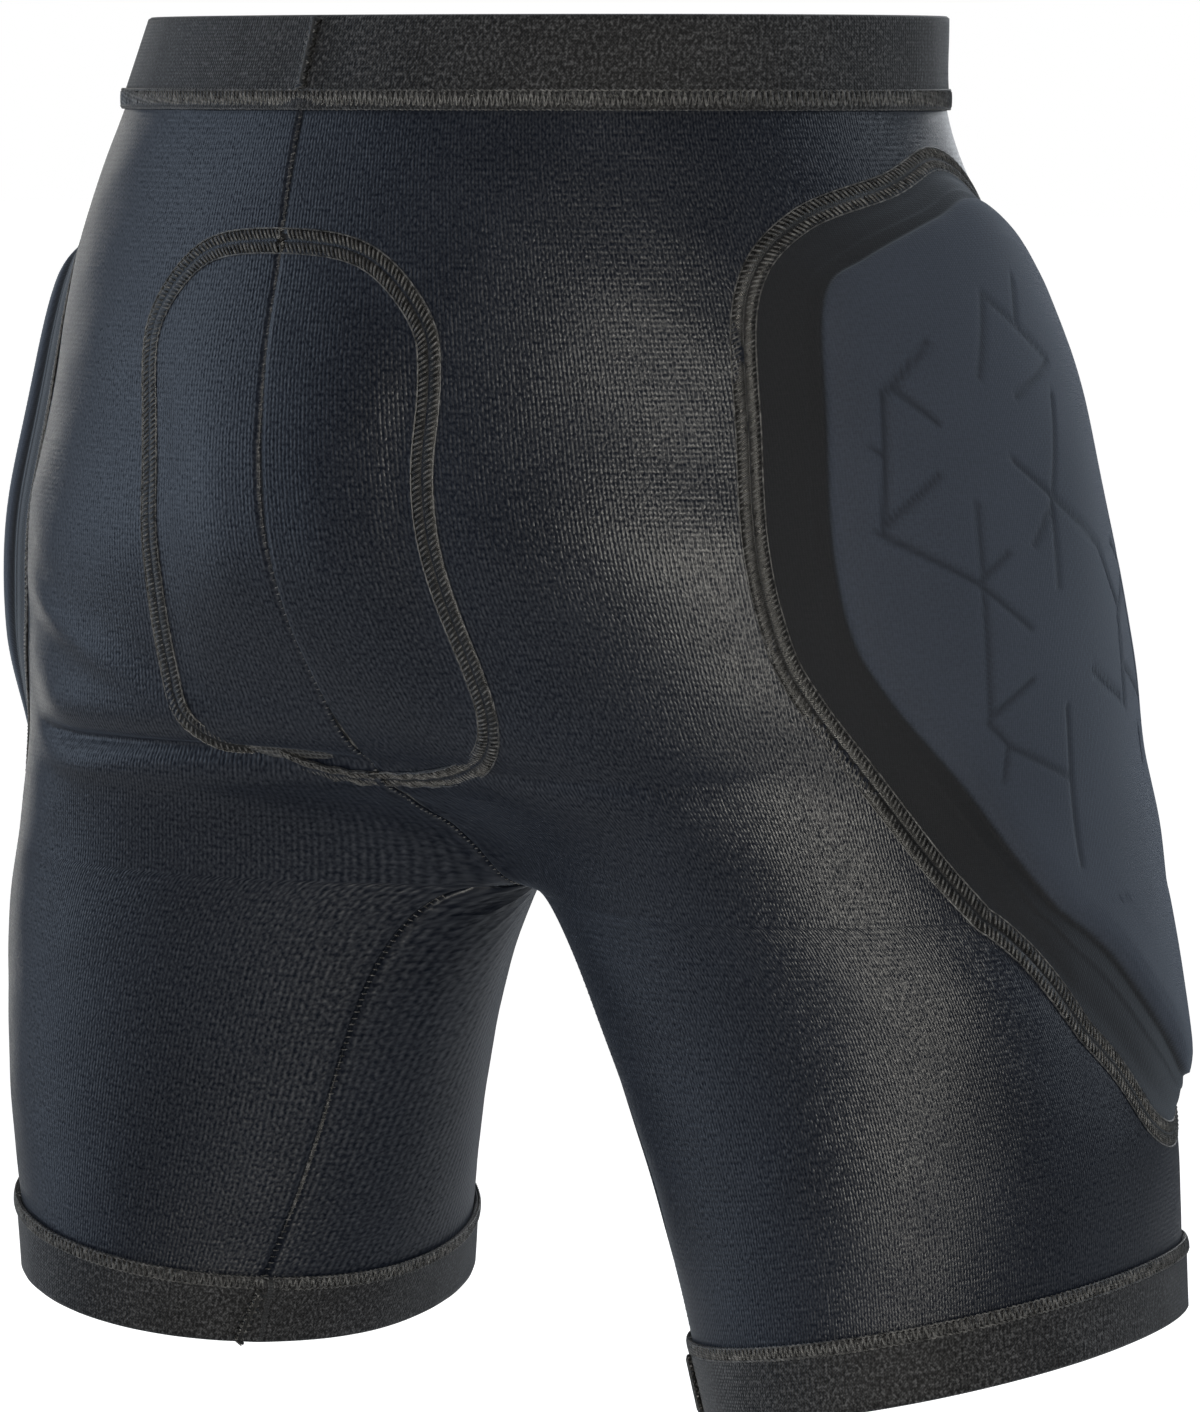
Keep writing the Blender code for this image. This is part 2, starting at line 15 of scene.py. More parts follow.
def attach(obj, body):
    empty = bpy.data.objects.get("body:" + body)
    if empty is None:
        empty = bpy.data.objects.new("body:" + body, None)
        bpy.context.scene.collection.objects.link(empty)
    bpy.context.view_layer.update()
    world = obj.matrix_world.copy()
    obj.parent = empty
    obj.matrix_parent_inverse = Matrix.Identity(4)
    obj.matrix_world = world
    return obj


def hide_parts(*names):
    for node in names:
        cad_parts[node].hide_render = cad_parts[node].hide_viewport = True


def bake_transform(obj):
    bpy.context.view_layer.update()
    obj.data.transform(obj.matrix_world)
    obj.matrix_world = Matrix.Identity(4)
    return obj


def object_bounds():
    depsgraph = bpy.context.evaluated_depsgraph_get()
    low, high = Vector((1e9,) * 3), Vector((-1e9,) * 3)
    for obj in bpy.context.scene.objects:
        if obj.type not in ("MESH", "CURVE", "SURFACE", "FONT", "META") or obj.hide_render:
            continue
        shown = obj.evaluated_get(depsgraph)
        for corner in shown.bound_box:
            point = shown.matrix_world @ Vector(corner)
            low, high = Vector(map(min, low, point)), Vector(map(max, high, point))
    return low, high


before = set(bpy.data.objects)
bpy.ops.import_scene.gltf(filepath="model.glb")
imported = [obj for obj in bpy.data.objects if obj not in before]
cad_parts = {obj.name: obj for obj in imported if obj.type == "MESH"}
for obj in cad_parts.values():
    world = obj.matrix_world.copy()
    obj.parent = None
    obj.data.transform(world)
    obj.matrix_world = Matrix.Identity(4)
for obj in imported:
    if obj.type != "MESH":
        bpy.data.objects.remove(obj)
cad_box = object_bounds()

# ---------------------------------------------------------------- dimensions, metres
# The form and the outlines are the CAD part's own.

LENGTH = 0.430
CROTCH = 0.282
LEVELS = (0.000, 0.030, 0.075, 0.120, 0.165, 0.210, 0.260, 0.310, 0.360, 0.430)
HALF_WIDTH = (0.143, 0.150, 0.170, 0.186, 0.196, 0.2022, 0.208, 0.222, 0.228, 0.2225)
BACK_DEPTH = (0.1065, 0.110, 0.1245, 0.134, 0.1325, 0.111, 0.079, 0.0645, 0.069, 0.0755)
FRONT_DEPTH = (0.1055, 0.105, 0.108, 0.1115, 0.1135, 0.114, 0.112, 0.103, 0.0925, 0.0925)
MIDDLE = (-0.003, 0.0035, -0.0005, -0.006, -0.0065, -0.005, -0.001, 0.0015, -0.0085, -0.018)
RISE_LEVELS = (0.0, 0.020, 0.045, 0.080, 0.120, 0.170, 0.290)
RISE_JOIN = (0.0, 0.046, 0.215, 0.348, 0.541, 0.999, 1.0)
ARCH_RADIUS = 0.0225
LEG_SPREAD = 0.085
INSEAM_SWING = 0.12
SWING_POWER = 0.6       # below 1, so the inseam turns back most near the crotch
HEM_SLOPE_OUT = 0.178
HEM_SLOPE_BACK = -0.100
HEM_SLOPE_FROM = 0.250
HEM_SLOPE_FULL = 0.385
WAIST_WIDTH = 0.030
HEM_WIDTH = 0.024
LAP = 0.0065
HEM_STITCH = 0.0042
TURN_LENGTH = 0.235     # of one turn around the hip, about
INSEAM_FURTHER = 0.025  # how much further back than the CAD's the sewn inseam ends, in turns
INSEAM_BOW = 0.05       # and how strongly it bows forward on the way there
SHIFT_FROM = 0.74       # turn from where the knit follows the shifted inseam

HIP_SEAM = (
    (-0.10, 0.046), (0.08, 0.054), (0.273, 0.065), (0.378, 0.088), (0.414, 0.136),
    (0.42, 0.186), (0.388, 0.214), (0.262, 0.260), (0.124, 0.298), (0.026, 0.334),
    (-0.048, 0.361), (-0.165, 0.368), (-0.27, 0.350), (-0.36, 0.301), (-0.45, 0.246),
    (-0.52, 0.195), (-0.535, 0.140), (-0.47, 0.090), (-0.29, 0.060),
)
HIP_FACE = (
    (-0.10, 0.0615), (0.04, 0.067), (0.193, 0.078), (0.277, 0.091), (0.316, 0.136),
    (0.324, 0.184), (0.285, 0.210), (0.173, 0.243), (0.078, 0.270), (-0.024, 0.295),
    (-0.11, 0.328), (-0.18, 0.349), (-0.245, 0.332), (-0.295, 0.291), (-0.37, 0.244),
    (-0.43, 0.195), (-0.44, 0.140), (-0.39, 0.100), (-0.265, 0.077),
)
HIP_MIDDLE = (-0.06, 0.180)
TAIL_HALF = (
    (0.0, 0.0715), (0.10, 0.0735), (0.16, 0.081), (0.205, 0.096), (0.212, 0.112),
    (0.195, 0.145), (0.190, 0.175), (0.191, 0.205), (0.183, 0.222), (0.15, 0.2335),
    (0.09, 0.2415), (0.0, 0.245),
)
TAIL_MIDDLE = (0.0, 0.158)
OUTLINE_STRETCH = 0.35  # turns to metres where an outline is read as polar

SMALL_TURN = 0.004      # steps for finding the slope of the form
SMALL_DOWN = 0.0015
PANEL_TOP = 0.0012      # height of the outer side of a panel above the form
PANEL_COLUMNS = 181
PANEL_ROWS = 146
PANEL_TUCK = 0.0014     # how far the edge of a panel dips under the hip seam
SEAM_TUCK = 0.0008      # and into the centre seam and inseam, over a width
SEAM_TUCK_WIDTH = 0.0011
TAIL_EDGE = 0.0009      # lift of the panels at the edge of the tailbone pad
TAIL_CROWN = 0.0044     # and their further lift in its middle
FOLD_LINE = 0.2395      # how far down the creases under the buttocks run
LEFT_FOLD = 0.0042      # depth of the crease
RIGHT_FOLD = 0.0012
WRINKLE = 0.0004        # height of the small wrinkles at the crotch
WRINKLE_PITCH = 0.011
CLOTH = 0.0009
ELASTIC_LOW = 0.0012
ELASTIC_TOP = 0.0029
ELASTIC_EDGE = 0.0007   # width of its rounded edges
ELASTIC_LAP = 0.0007    # how much higher it stands where its ends meet
ELASTIC_LAP_WIDTH = 0.0045
TOOTH_PITCH = 0.0013    # of the zigzag over the ends of an elastic
TOOTH_REACH = 0.0022
LADDER_PITCH = 0.0024   # of the small stitches of the centre seam and inseams
LINING = 0.0005
SEAM_HALF = 0.0041      # half width of a flatlock seam
STITCH_PITCH = 0.0017
BAR_PITCH = 0.0019
THREAD = 0.00034        # thread radius

# Height of the hip cover over the form, from the seam (0) over the edge of the pad's face
# (1) to its middle (2): flat seam allowance, flange, small step, border, face.
COVER_BLEND = (0.0, 0.14, 0.34, 0.52, 0.70, 0.75, 0.93, 0.965, 1.035, 1.10, 1.35, 2.0)
COVER_HEIGHT = (1.2, 1.25, 1.7, 3.3, 4.3, 5.0, 5.6, 6.1, 10.2, 11.3, 12.0, 12.1)
COVER_SOFTENING = 0.014 # how far, in blend, the corners of that profile are rounded
GROOVE_DEPTH = 0.0007
GROOVE_WIDTH = 0.0011
# Moulded flex grooves on the back half of the face, as (turn, down) points.
GROOVES = (
    ((0.239, 0.119), (0.265, 0.160)), ((0.234, 0.119), (0.156, 0.105)),
    ((0.224, 0.118), (0.171, 0.129)), ((0.265, 0.160), (0.182, 0.145)),
    ((0.278, 0.161), (0.147, 0.177), (0.064, 0.192)), ((0.294, 0.133), (0.253, 0.138)),
    ((0.129, 0.154), (0.147, 0.220)), ((0.142, 0.177), (0.088, 0.169)),
    ((0.028, 0.091), (0.088, 0.116)), ((0.025, 0.092), (-0.020, 0.101), (-0.085, 0.112)),
    ((-0.066, 0.087), (-0.023, 0.101)), ((-0.068, 0.122), (-0.007, 0.154), (-0.000, 0.180)),
    ((0.059, 0.141), (-0.011, 0.153), (-0.129, 0.169)), ((-0.007, 0.155), (0.040, 0.167)),
    ((0.029, 0.122), (-0.075, 0.113)), ((0.150, 0.220), (0.114, 0.228), (-0.006, 0.239)),
    ((0.120, 0.228), (0.131, 0.239)), ((0.145, 0.218), (0.069, 0.208)),
    ((0.000, 0.217), (-0.006, 0.239), (-0.017, 0.269)), ((-0.072, 0.207), (-0.150, 0.216)),
    ((-0.186, 0.192), (-0.169, 0.219)), ((-0.129, 0.169), (-0.192, 0.189)),
)
GROOVE_MIRROR = -0.12   # the front half mirrors the strokes behind this turn
GROOVE_SPLIT = 0.06

RANDOM = np.random.default_rng(11)
SIDES = (("left", 1), ("right", -1))


# ---------------------------------------------------------------- the form

def ease(start, stop, value):
    """0 at start, 1 at stop and beyond, with a smooth rise between them."""
    t = np.clip((value - start) / (stop - start), 0.0, 1.0)
    return t * t * (3.0 - 2.0 * t)


def hump(value, width):
    """1 at zero, falling away smoothly over a width to both sides."""
    return np.exp(-(value / width) ** 2)


def mm(*values):
    """An array in metres from values in millimetres."""
    return np.array(values) / 1000.0


def along(levels, values, level):
    """Smooth curve through values at levels."""
    levels = np.asarray(levels, float)
    values = np.asarray(values, float)
    level = np.clip(level, levels[0], levels[-1])
    steps = np.diff(levels)
    slopes = np.diff(values) / steps
    weighted = slopes[:-1] * steps[1:] + slopes[1:] * steps[:-1]
    tangents = np.concatenate([slopes[:1], weighted / (steps[:-1] + steps[1:]), slopes[-1:]])
    i = np.clip(np.searchsorted(levels, level) - 1, 0, len(steps) - 1)
    t = (level - levels[i]) / steps[i]
    value = (1 + 2 * t) * (1 - t) ** 2 * values[i] + t * t * (3 - 2 * t) * values[i + 1]
    bend = t * (1 - t) ** 2 * tangents[i] + t * t * (t - 1) * tangents[i + 1]
    return value + steps[i] * bend


def form(side, turn, down):
    """Points of the form."""
    side, turn, down = np.broadcast_arrays(np.asarray(side, float), turn, down)
    below = np.maximum(down - CROTCH, 0.0)
    width = along(LEVELS, HALF_WIDTH, down)
    joined = -width * width * along(RISE_LEVELS, RISE_JOIN, CROTCH - down)
    parted = 2.0 * ARCH_RADIUS * below + (LEG_SPREAD * below) ** 2
    inner = np.where(down > CROTCH, parted, joined)
    centre_square = (width * width + inner) / 2.0
    spread = (width * width - inner) / 2.0
    swing = INSEAM_SWING * (below / (LENGTH - CROTCH)) ** SWING_POWER
    oval = np.sqrt(centre_square + spread * np.exp(1j * np.pi * (turn - swing)))
    one = np.sqrt(np.maximum(spread - centre_square, 1e-12))
    two = spread / (2.0 * np.sqrt(np.maximum(centre_square, 1e-12)))
    deepest = np.where(spread < 2.0 * centre_square, two, one)
    depth = np.where(oval.imag > 0, along(LEVELS, BACK_DEPTH, down),
                     along(LEVELS, FRONT_DEPTH, down))
    reach = depth * oval.imag / deepest
    x = np.maximum(oval.real, 0.0)
    slope = ease(HEM_SLOPE_FROM, HEM_SLOPE_FULL, down)
    centre_x = np.sqrt(np.maximum(centre_square, 0.0))
    z = -down + slope * (HEM_SLOPE_OUT * (x - centre_x) + HEM_SLOPE_BACK * reach)
    return np.stack([side * x, along(LEVELS, MIDDLE, down) + reach, z], -1)


def unit(vectors):
    return vectors / np.maximum(np.linalg.norm(vectors, axis=-1, keepdims=True), 1e-12)


def run_length(track):
    """Distance along a track at each of its points."""
    return np.concatenate([[0.0], np.cumsum(np.linalg.norm(np.diff(track, axis=0), axis=1))])


def form_normal(side, turn, down):
    """Unit vectors out of the form."""
    side, turn, down = np.broadcast_arrays(np.asarray(side, float), turn, down)
    inner = np.where(down > CROTCH + 0.006, 2.0, 1.0 - SMALL_TURN)
    turn = np.clip(turn, -inner, inner)
    across = form(side, turn + SMALL_TURN, down) - form(side, turn - SMALL_TURN, down)
    low = np.minimum(down + SMALL_DOWN, LENGTH)
    high = np.maximum(down - SMALL_DOWN, 0.0)
    lengthwise = form(side, turn, low) - form(side, turn, high)
    return unit(np.cross(across, lengthwise) * -side[..., None])


def level_normal(side, turn, down):
    """The part of the normal that lies in the plane of an elastic's edge."""
    side, turn, down = np.broadcast_arrays(np.asarray(side, float), turn, down)
    slope = ease(HEM_SLOPE_FROM, HEM_SLOPE_FULL, down)
    axis = unit(np.stack([-side * slope * HEM_SLOPE_OUT, -slope * HEM_SLOPE_BACK,
                          np.ones_like(side)], -1))
    normal = form_normal(side, turn, down)
    return unit(normal - axis * (normal * axis).sum(-1, keepdims=True))


def inseam_shift(down):
    """How far the sewn inseam lies from the CAD's, in turns; below zero on its forward bow."""
    share = np.maximum(np.asarray(down) - CROTCH, 0.0) / (LENGTH - CROTCH)
    return INSEAM_FURTHER * share ** 3 - INSEAM_BOW * share ** 1.5 * (1.0 - share)


def lifted(side, turn, down, height):
    return form(side, turn, down) + form_normal(side, turn, down) * np.asarray(height)[..., None]


# ---------------------------------------------------------------- outlines on the form

def closed_curve(points, steps):
    """Smooth closed curve through points, with steps points for each."""
    here = np.asarray(points, float)[:, None]
    before, after, beyond = (np.roll(here, -k, 0) for k in (-1, 1, 2))
    t = (np.arange(steps) / steps)[None, :, None]
    curve = 0.5 * (2 * here + (after - before) * t
                   + (2 * before - 5 * here + 4 * after - beyond) * t ** 2
                   + (3 * here - before - 3 * after + beyond) * t ** 3)
    return curve.reshape(-1, 2)


TAIL_OUTLINE = list(TAIL_HALF) + [(-turn, down) for turn, down in TAIL_HALF[-2:0:-1]]


def hip_place(side):
    """Reads outline points on one hip as (side, turn, down)."""
    return lambda points: (np.full(points.shape[:-1], float(side)), points[..., 0], points[..., 1])


def tail_place(points):
    """Reads tailbone outline points as (side, turn, down)."""
    return (np.where(points[..., 0] >= 0, 1.0, -1.0), 1.0 - np.abs(points[..., 0]), points[..., 1])


def outline_share(outline, middle, x, down):
    """How far points are from the middle, as a share of the way to the outline."""
    ring = (closed_curve(outline, 12) - middle) * (OUTLINE_STRETCH, 1.0)
    angles = np.arctan2(ring[:, 1], ring[:, 0])
    order = np.argsort(angles)
    dx = (x - middle[0]) * OUTLINE_STRETCH
    dy = down - middle[1]
    reach = np.interp(np.arctan2(dy, dx), angles[order], np.hypot(*ring.T)[order], period=2 * np.pi)
    return np.hypot(dx, dy) / reach


# ---------------------------------------------------------------- height of the skin

def tail_swell(side, turn, down):
    """How far the tailbone pad lifts the panels: a clear edge, then a low crown."""
    share = outline_share(TAIL_OUTLINE, TAIL_MIDDLE, (1.0 - turn) * side, down)
    return TAIL_EDGE * ease(0.92, 0.66, share) + TAIL_CROWN * ease(0.95, 0.25, share)


def folds(side, turn, down):
    """Creases under the buttocks and at the crotch, and the faint unevenness of worn cloth."""
    depth = np.where(side > 0, LEFT_FOLD, RIGHT_FOLD)
    reach = ease(0.44, 0.62, turn) * (1.0 - 0.5 * ease(0.90, 1.0, turn))
    line = FOLD_LINE - 0.004 * ease(0.62, 0.42, turn)
    fold = -hump(down - line, 0.0030) + 0.75 * hump(down - line + 0.012, 0.009)
    fold += 0.35 * hump(down - line - 0.009, 0.005)
    height = depth * reach * fold
    ridge = 0.192 + (turn - 0.514) * 0.10
    span = ease(0.42, 0.55, turn) * ease(0.86, 0.74, turn)
    height += 0.28 * depth * span * hump(down - ridge, 0.006)
    crotch = ease(0.90, 0.97, turn) * hump(down - 0.252, 0.014)
    slanted = down - 2.0 * (1.0 - turn) * TURN_LENGTH
    height += WRINKLE * crotch * np.sin(2 * np.pi * slanted / WRINKLE_PITCH)
    height += 0.0004 * np.sin(turn * 9.0 + side) * np.sin(down * 61.0 + 2.0 * turn)
    return height + 0.00012 * np.sin(turn * 31.0 + down * 40.0) * np.sin(down * 170.0)


def skin_height(side, turn, down):
    """Height of the outer side of the panels above the form."""
    side, turn, down = np.broadcast_arrays(np.asarray(side, float), turn, down)
    return PANEL_TOP + tail_swell(side, turn, down) + folds(side, turn, down)


# ---------------------------------------------------------------- meshes

def new_piece(name, points, faces, material, uv, extra=None):
    """A mesh object from points and faces, with cloth coordinates in metres as its UV map."""
    mesh = bpy.data.meshes.new(name)
    mesh.from_pydata(np.asarray(points).reshape(-1, 3).tolist(), [], faces)
    layer = mesh.uv_layers.new(name="cloth")
    corner = np.zeros(len(mesh.loops), int)
    mesh.loops.foreach_get("vertex_index", corner)
    layer.data.foreach_set("uv", np.asarray(uv, float).reshape(-1, 2)[corner].ravel())
    for key, values in (extra or {}).items():
        attribute = mesh.attributes.new(key, "FLOAT", "POINT")
        attribute.data.foreach_set("value", np.asarray(values, np.float32).ravel())
    mesh.materials.append(material)
    mesh.shade_smooth()
    piece = bpy.data.objects.new(name, mesh)
    bpy.context.scene.collection.objects.link(piece)
    return piece


def grid_faces(rows, columns, close_rows=False, close_columns=False):
    """Quads of a grid of points, as an array."""
    i = np.arange(rows if close_rows else rows - 1)[:, None]
    j = np.arange(columns if close_columns else columns - 1)[None, :]
    i2 = (i + 1) % rows
    j2 = (j + 1) % columns
    corners = (i * columns + j, i * columns + j2, i2 * columns + j2, i2 * columns + j)
    shape = (i.shape[0], j.shape[1])
    return np.stack([np.broadcast_to(c, shape) for c in corners], -1).reshape(-1, 4)


def triangles(faces):
    return np.concatenate([faces[:, (0, 1, 2)], faces[:, (0, 2, 3)]])


def vertex_normals(points, faces):
    tris = triangles(faces)
    a, b, c = (points[tris[:, k]] for k in range(3))
    normal = np.cross(b - a, c - a)
    total = np.zeros_like(points)
    for k in range(3):
        np.add.at(total, tris[:, k], normal)
    return unit(total)


def shell(name, points, faces, outward, thickness, material, uv, extra=None):
    """Cloth of a real thickness from its outer side, closed round its edges."""
    used = np.unique(faces)
    number = np.full(len(points), -1)
    number[used] = np.arange(len(used))
    points, outward, uv, faces = points[used], outward[used], uv[used], number[faces]
    extra = {key: values[used] for key, values in (extra or {}).items()}
    normal = vertex_normals(points, faces)
    if (normal * outward).sum() < 0:
        faces = faces[:, ::-1]
        normal = -normal
    count = len(points)
    starts = faces.ravel()
    ends = np.roll(faces, -1, 1).ravel()
    real = starts != ends
    starts, ends = starts[real], ends[real]
    edge = ~np.isin(starts * count + ends, ends * count + starts)
    rim = np.stack([ends[edge], starts[edge], starts[edge] + count, ends[edge] + count], -1)
    everything = np.concatenate([faces, faces[:, ::-1] + count, rim])
    listed = [tuple(dict.fromkeys(face)) for face in everything.tolist()]
    both = np.concatenate([points, points - normal * thickness])
    extra = {key: np.concatenate([values, values]) for key, values in extra.items()}
    return new_piece(name, both, listed, material, np.concatenate([uv, uv]), extra)


def loft(name, grid, material, uv, close_rows=False, close_columns=False):
    """Skin over a grid of points."""
    rows, columns = grid.shape[:2]
    faces = grid_faces(rows, columns, close_rows, close_columns)
    return new_piece(name, grid, faces.tolist(), material, uv)


def merge(name, pieces):
    """Joins pieces into one."""
    with bpy.context.temp_override(active_object=pieces[0], selected_editable_objects=pieces,
                                   selected_objects=pieces, object=pieces[0]):
        bpy.ops.object.join()
    pieces[0].name = name
    return pieces[0]


def threads(name, paths, normals, radius, material, closed=False, sides=6, taper=True):
    """Round threads along paths (threads, points, 3), closed at their ends."""
    count, steps = paths.shape[:2]
    if closed:
        tangent = unit(np.roll(paths, -1, 1) - np.roll(paths, 1, 1))
    else:
        tangent = unit(np.gradient(paths, axis=1))
    across = unit(np.cross(tangent, normals))
    up = unit(np.cross(across, tangent))
    angle = np.arange(sides) * 2 * np.pi / sides
    size = np.full(steps, float(radius))
    if taper and not closed:
        size[[0, -1]] *= 0.55
    ring = (up[:, :, None] * np.cos(angle)[None, None, :, None]
            + across[:, :, None] * np.sin(angle)[None, None, :, None])
    points = paths[:, :, None] + ring * size[None, :, None, None]
    one = grid_faces(steps, sides, closed, True)
    if not closed:
        first = np.array([(0, 3, 2, 1), (0, 5, 4, 3)])
        last = np.array([(0, 1, 2, 3), (0, 3, 4, 5)]) + (steps - 1) * sides
        one = np.concatenate([one, first, last])
    faces = (one[None] + (np.arange(count) * steps * sides)[:, None, None]).reshape(-1, 4)
    far = np.linspace(0.0, 0.004, steps)[None, :, None] + (np.arange(count) * 0.0013)[:, None, None]
    uv = np.stack([np.broadcast_to(far, points.shape[:3]),
                   np.broadcast_to(angle * radius, points.shape[:3])], -1)
    return new_piece(name, points, faces.tolist(), material, uv)


class Course:
    """A line on the form at even steps of its length."""

    def __init__(self, side, turn, down, pitch, height, closed=False, level=False):
        track = form(side, turn, down)
        if closed:
            track = np.concatenate([track, track[:1]])
            side, turn, down = (np.append(a, a[0]) for a in (side, turn, down))
        far = run_length(track)
        count = max(int(round(far[-1] / pitch)), 2)
        self.far = np.linspace(0.0, far[-1], count + 1)
        if closed:
            self.far = self.far[:-1]
        nearest = np.clip(np.searchsorted(far, self.far - 1e-9), 0, len(far) - 1)
        side = side[nearest]
        turn = np.interp(self.far, far, turn)
        down = np.interp(self.far, far, down)
        self.closed = closed
        point = form(side, turn, down)
        if closed:
            self.tangent = unit(np.roll(point, -1, 0) - np.roll(point, 1, 0))
        else:
            self.tangent = unit(np.gradient(point, axis=0))
        finder = level_normal if level else form_normal
        self.normal = unit(finder(side, turn, down))
        self.across = unit(np.cross(self.tangent, self.normal))
        lift = height(side, turn, down) if callable(height) else height
        self.point = point + self.normal * np.asarray(lift)[..., None]

    def spot(self, forward, sideways, up):
        """Points beside the line, forward along it, sideways on the surface and up from it."""
        return (self.point + self.tangent * np.asarray(forward)[..., None]
                + self.across * np.asarray(sideways)[..., None]
                + self.normal * np.asarray(up)[..., None])


def stitches(name, course, sideways, forward, lifts, radius, material):
    """One short thread at each step of a course, through the given offsets."""
    count = len(course.far)
    shake = RANDOM.normal(0.0, 0.05, (count, 2)) * radius * 4
    path = np.stack([course.spot(f + shake[:, 0], s + shake[:, 1], u)
                     for f, s, u in zip(forward, sideways, lifts)], 1)
    normals = np.repeat(course.normal[:, None], len(forward), 1)
    return threads(name, path, normals, radius, material)


def chain(name, course, sideways, waves, swing, up, radius, material):
    """A looper thread that runs the whole course with small waves."""
    phase = np.arange(len(course.far)) * 2 * np.pi / waves
    beside = sideways + swing * np.sin(phase)
    path = course.spot(0.0 * phase, beside, up + 0.4 * swing * np.cos(phase))
    return threads(name, path[None], course.normal[None], radius, material, course.closed)


# ---------------------------------------------------------------- materials

class Shader:
    """Short way to write a node material."""

    def __init__(self, name, **sockets):
        self.material = bpy.data.materials.new(name)
        self.material.use_nodes = True
        self.tree = self.material.node_tree
        self.shader = self.tree.nodes["Principled BSDF"]
        for key, value in sockets.items():
            self.shader.inputs[key.replace("_", " ")].default_value = value
        place = self.node("ShaderNodeUVMap")
        place.uv_map = "cloth"
        self.uv = place.outputs[0]
        split = self.node("ShaderNodeSeparateXYZ", self.uv)
        self.u, self.v = split.outputs[0], split.outputs[1]
        self.object = self.node("ShaderNodeTexCoord").outputs["Object"]

    def node(self, kind, *inputs, **settings):
        node = self.tree.nodes.new(kind)
        for key, value in settings.items():
            setattr(node, key, value)
        for socket, value in zip(node.inputs, inputs):
            if value is None:
                continue
            if isinstance(value, bpy.types.NodeSocket):
                self.tree.links.new(value, socket)
            else:
                socket.default_value = value
        return node

    def math(self, operation, a, b=None, c=None):
        return self.node("ShaderNodeMath", a, b, c, operation=operation).outputs[0]

    def wave(self, coordinate, pitch, phase=None):
        """0 to 1 ripples of a given pitch in metres."""
        angle = self.math("MULTIPLY", coordinate, 2 * math.pi / pitch)
        if phase is not None:
            angle = self.math("ADD", angle, phase)
        return self.math("MULTIPLY_ADD", self.math("SINE", angle), 0.5, 0.5)

    def noise(self, size, detail=2.0, stretch=None):
        """0 to 1 noise with features of a size in metres; stretch is (across, along)."""
        if stretch is None:
            node = self.node("ShaderNodeTexNoise", self.object)
        else:
            scaled = self.node("ShaderNodeVectorMath", self.uv, (*stretch, 1.0),
                               operation="MULTIPLY")
            node = self.node("ShaderNodeTexNoise", scaled.outputs[0])
        node.inputs["Scale"].default_value = 1.0 / size
        node.inputs["Detail"].default_value = detail
        return node.outputs[0]

    def spread(self, value, low, high):
        """Linear map of 0.3..0.7, where noise mostly lies, to low..high."""
        node = self.node("ShaderNodeMapRange", value, 0.3, 0.7, low, high)
        return node.outputs[0]

    def mix(self, factor, a, b):
        node = self.tree.nodes.new("ShaderNodeMix")
        node.data_type = "RGBA"
        for key, value in ((0, factor), (6, a), (7, b)):
            if isinstance(value, bpy.types.NodeSocket):
                self.tree.links.new(value, node.inputs[key])
            else:
                node.inputs[key].default_value = (*value, 1.0) if key else value
        return node.outputs[2]

    def attribute(self, name):
        return self.node("ShaderNodeAttribute", attribute_name=name).outputs["Fac"]

    def finish(self, color, roughness, height, distance, strength=1.0):
        self.tree.links.new(color, self.shader.inputs["Base Color"])
        self.tree.links.new(roughness, self.shader.inputs["Roughness"])
        bump = self.node("ShaderNodeBump")
        bump.inputs["Strength"].default_value = strength
        bump.inputs["Distance"].default_value = distance
        self.tree.links.new(height, bump.inputs["Height"])
        self.tree.links.new(bump.outputs[0], self.shader.inputs["Normal"])
        return self.material


def stretch_knit():
    """Dark tricot: upright wales, fine courses, a yarn that glints."""
    s = Shader("stretch_knit_look", Sheen_Weight=0.06, Sheen_Roughness=0.35,
               Sheen_Tint=(0.62, 0.75, 1.0, 1.0))
    wale = s.wave(s.u, 0.0012)
    course = s.wave(s.v, 0.0016, s.math("MULTIPLY", wale, 1.9))
    yarn = s.noise(0.0008, 1.0, (1.0, 0.6))
    patch = s.noise(0.035, 3.0)
    loop = s.math("MULTIPLY_ADD", course, 0.30, s.math("MULTIPLY", wale, 0.70))
    tone = s.math("MULTIPLY_ADD", s.spread(yarn, 0.0, 1.0), 0.35, s.math("MULTIPLY", loop, 0.2))
    tone = s.math("ADD", tone, s.spread(patch, 0.0, 0.24))
    color = s.mix(tone, (0.0055, 0.0075, 0.0135), (0.0190, 0.0240, 0.0385))
    rough = s.math("ADD", s.spread(yarn, 0.30, 0.46), s.spread(patch, -0.03, 0.03))
    height = s.math("ADD", loop, s.spread(yarn, -0.4, 0.4))
    shine = s.math("MULTIPLY", s.math("MULTIPLY_ADD", loop, 0.50, 0.22), s.spread(yarn, 0.30, 1.95))
    s.tree.links.new(shine, s.shader.inputs["Specular IOR Level"])
    return s.finish(color, rough, height, 0.00011, 0.8)


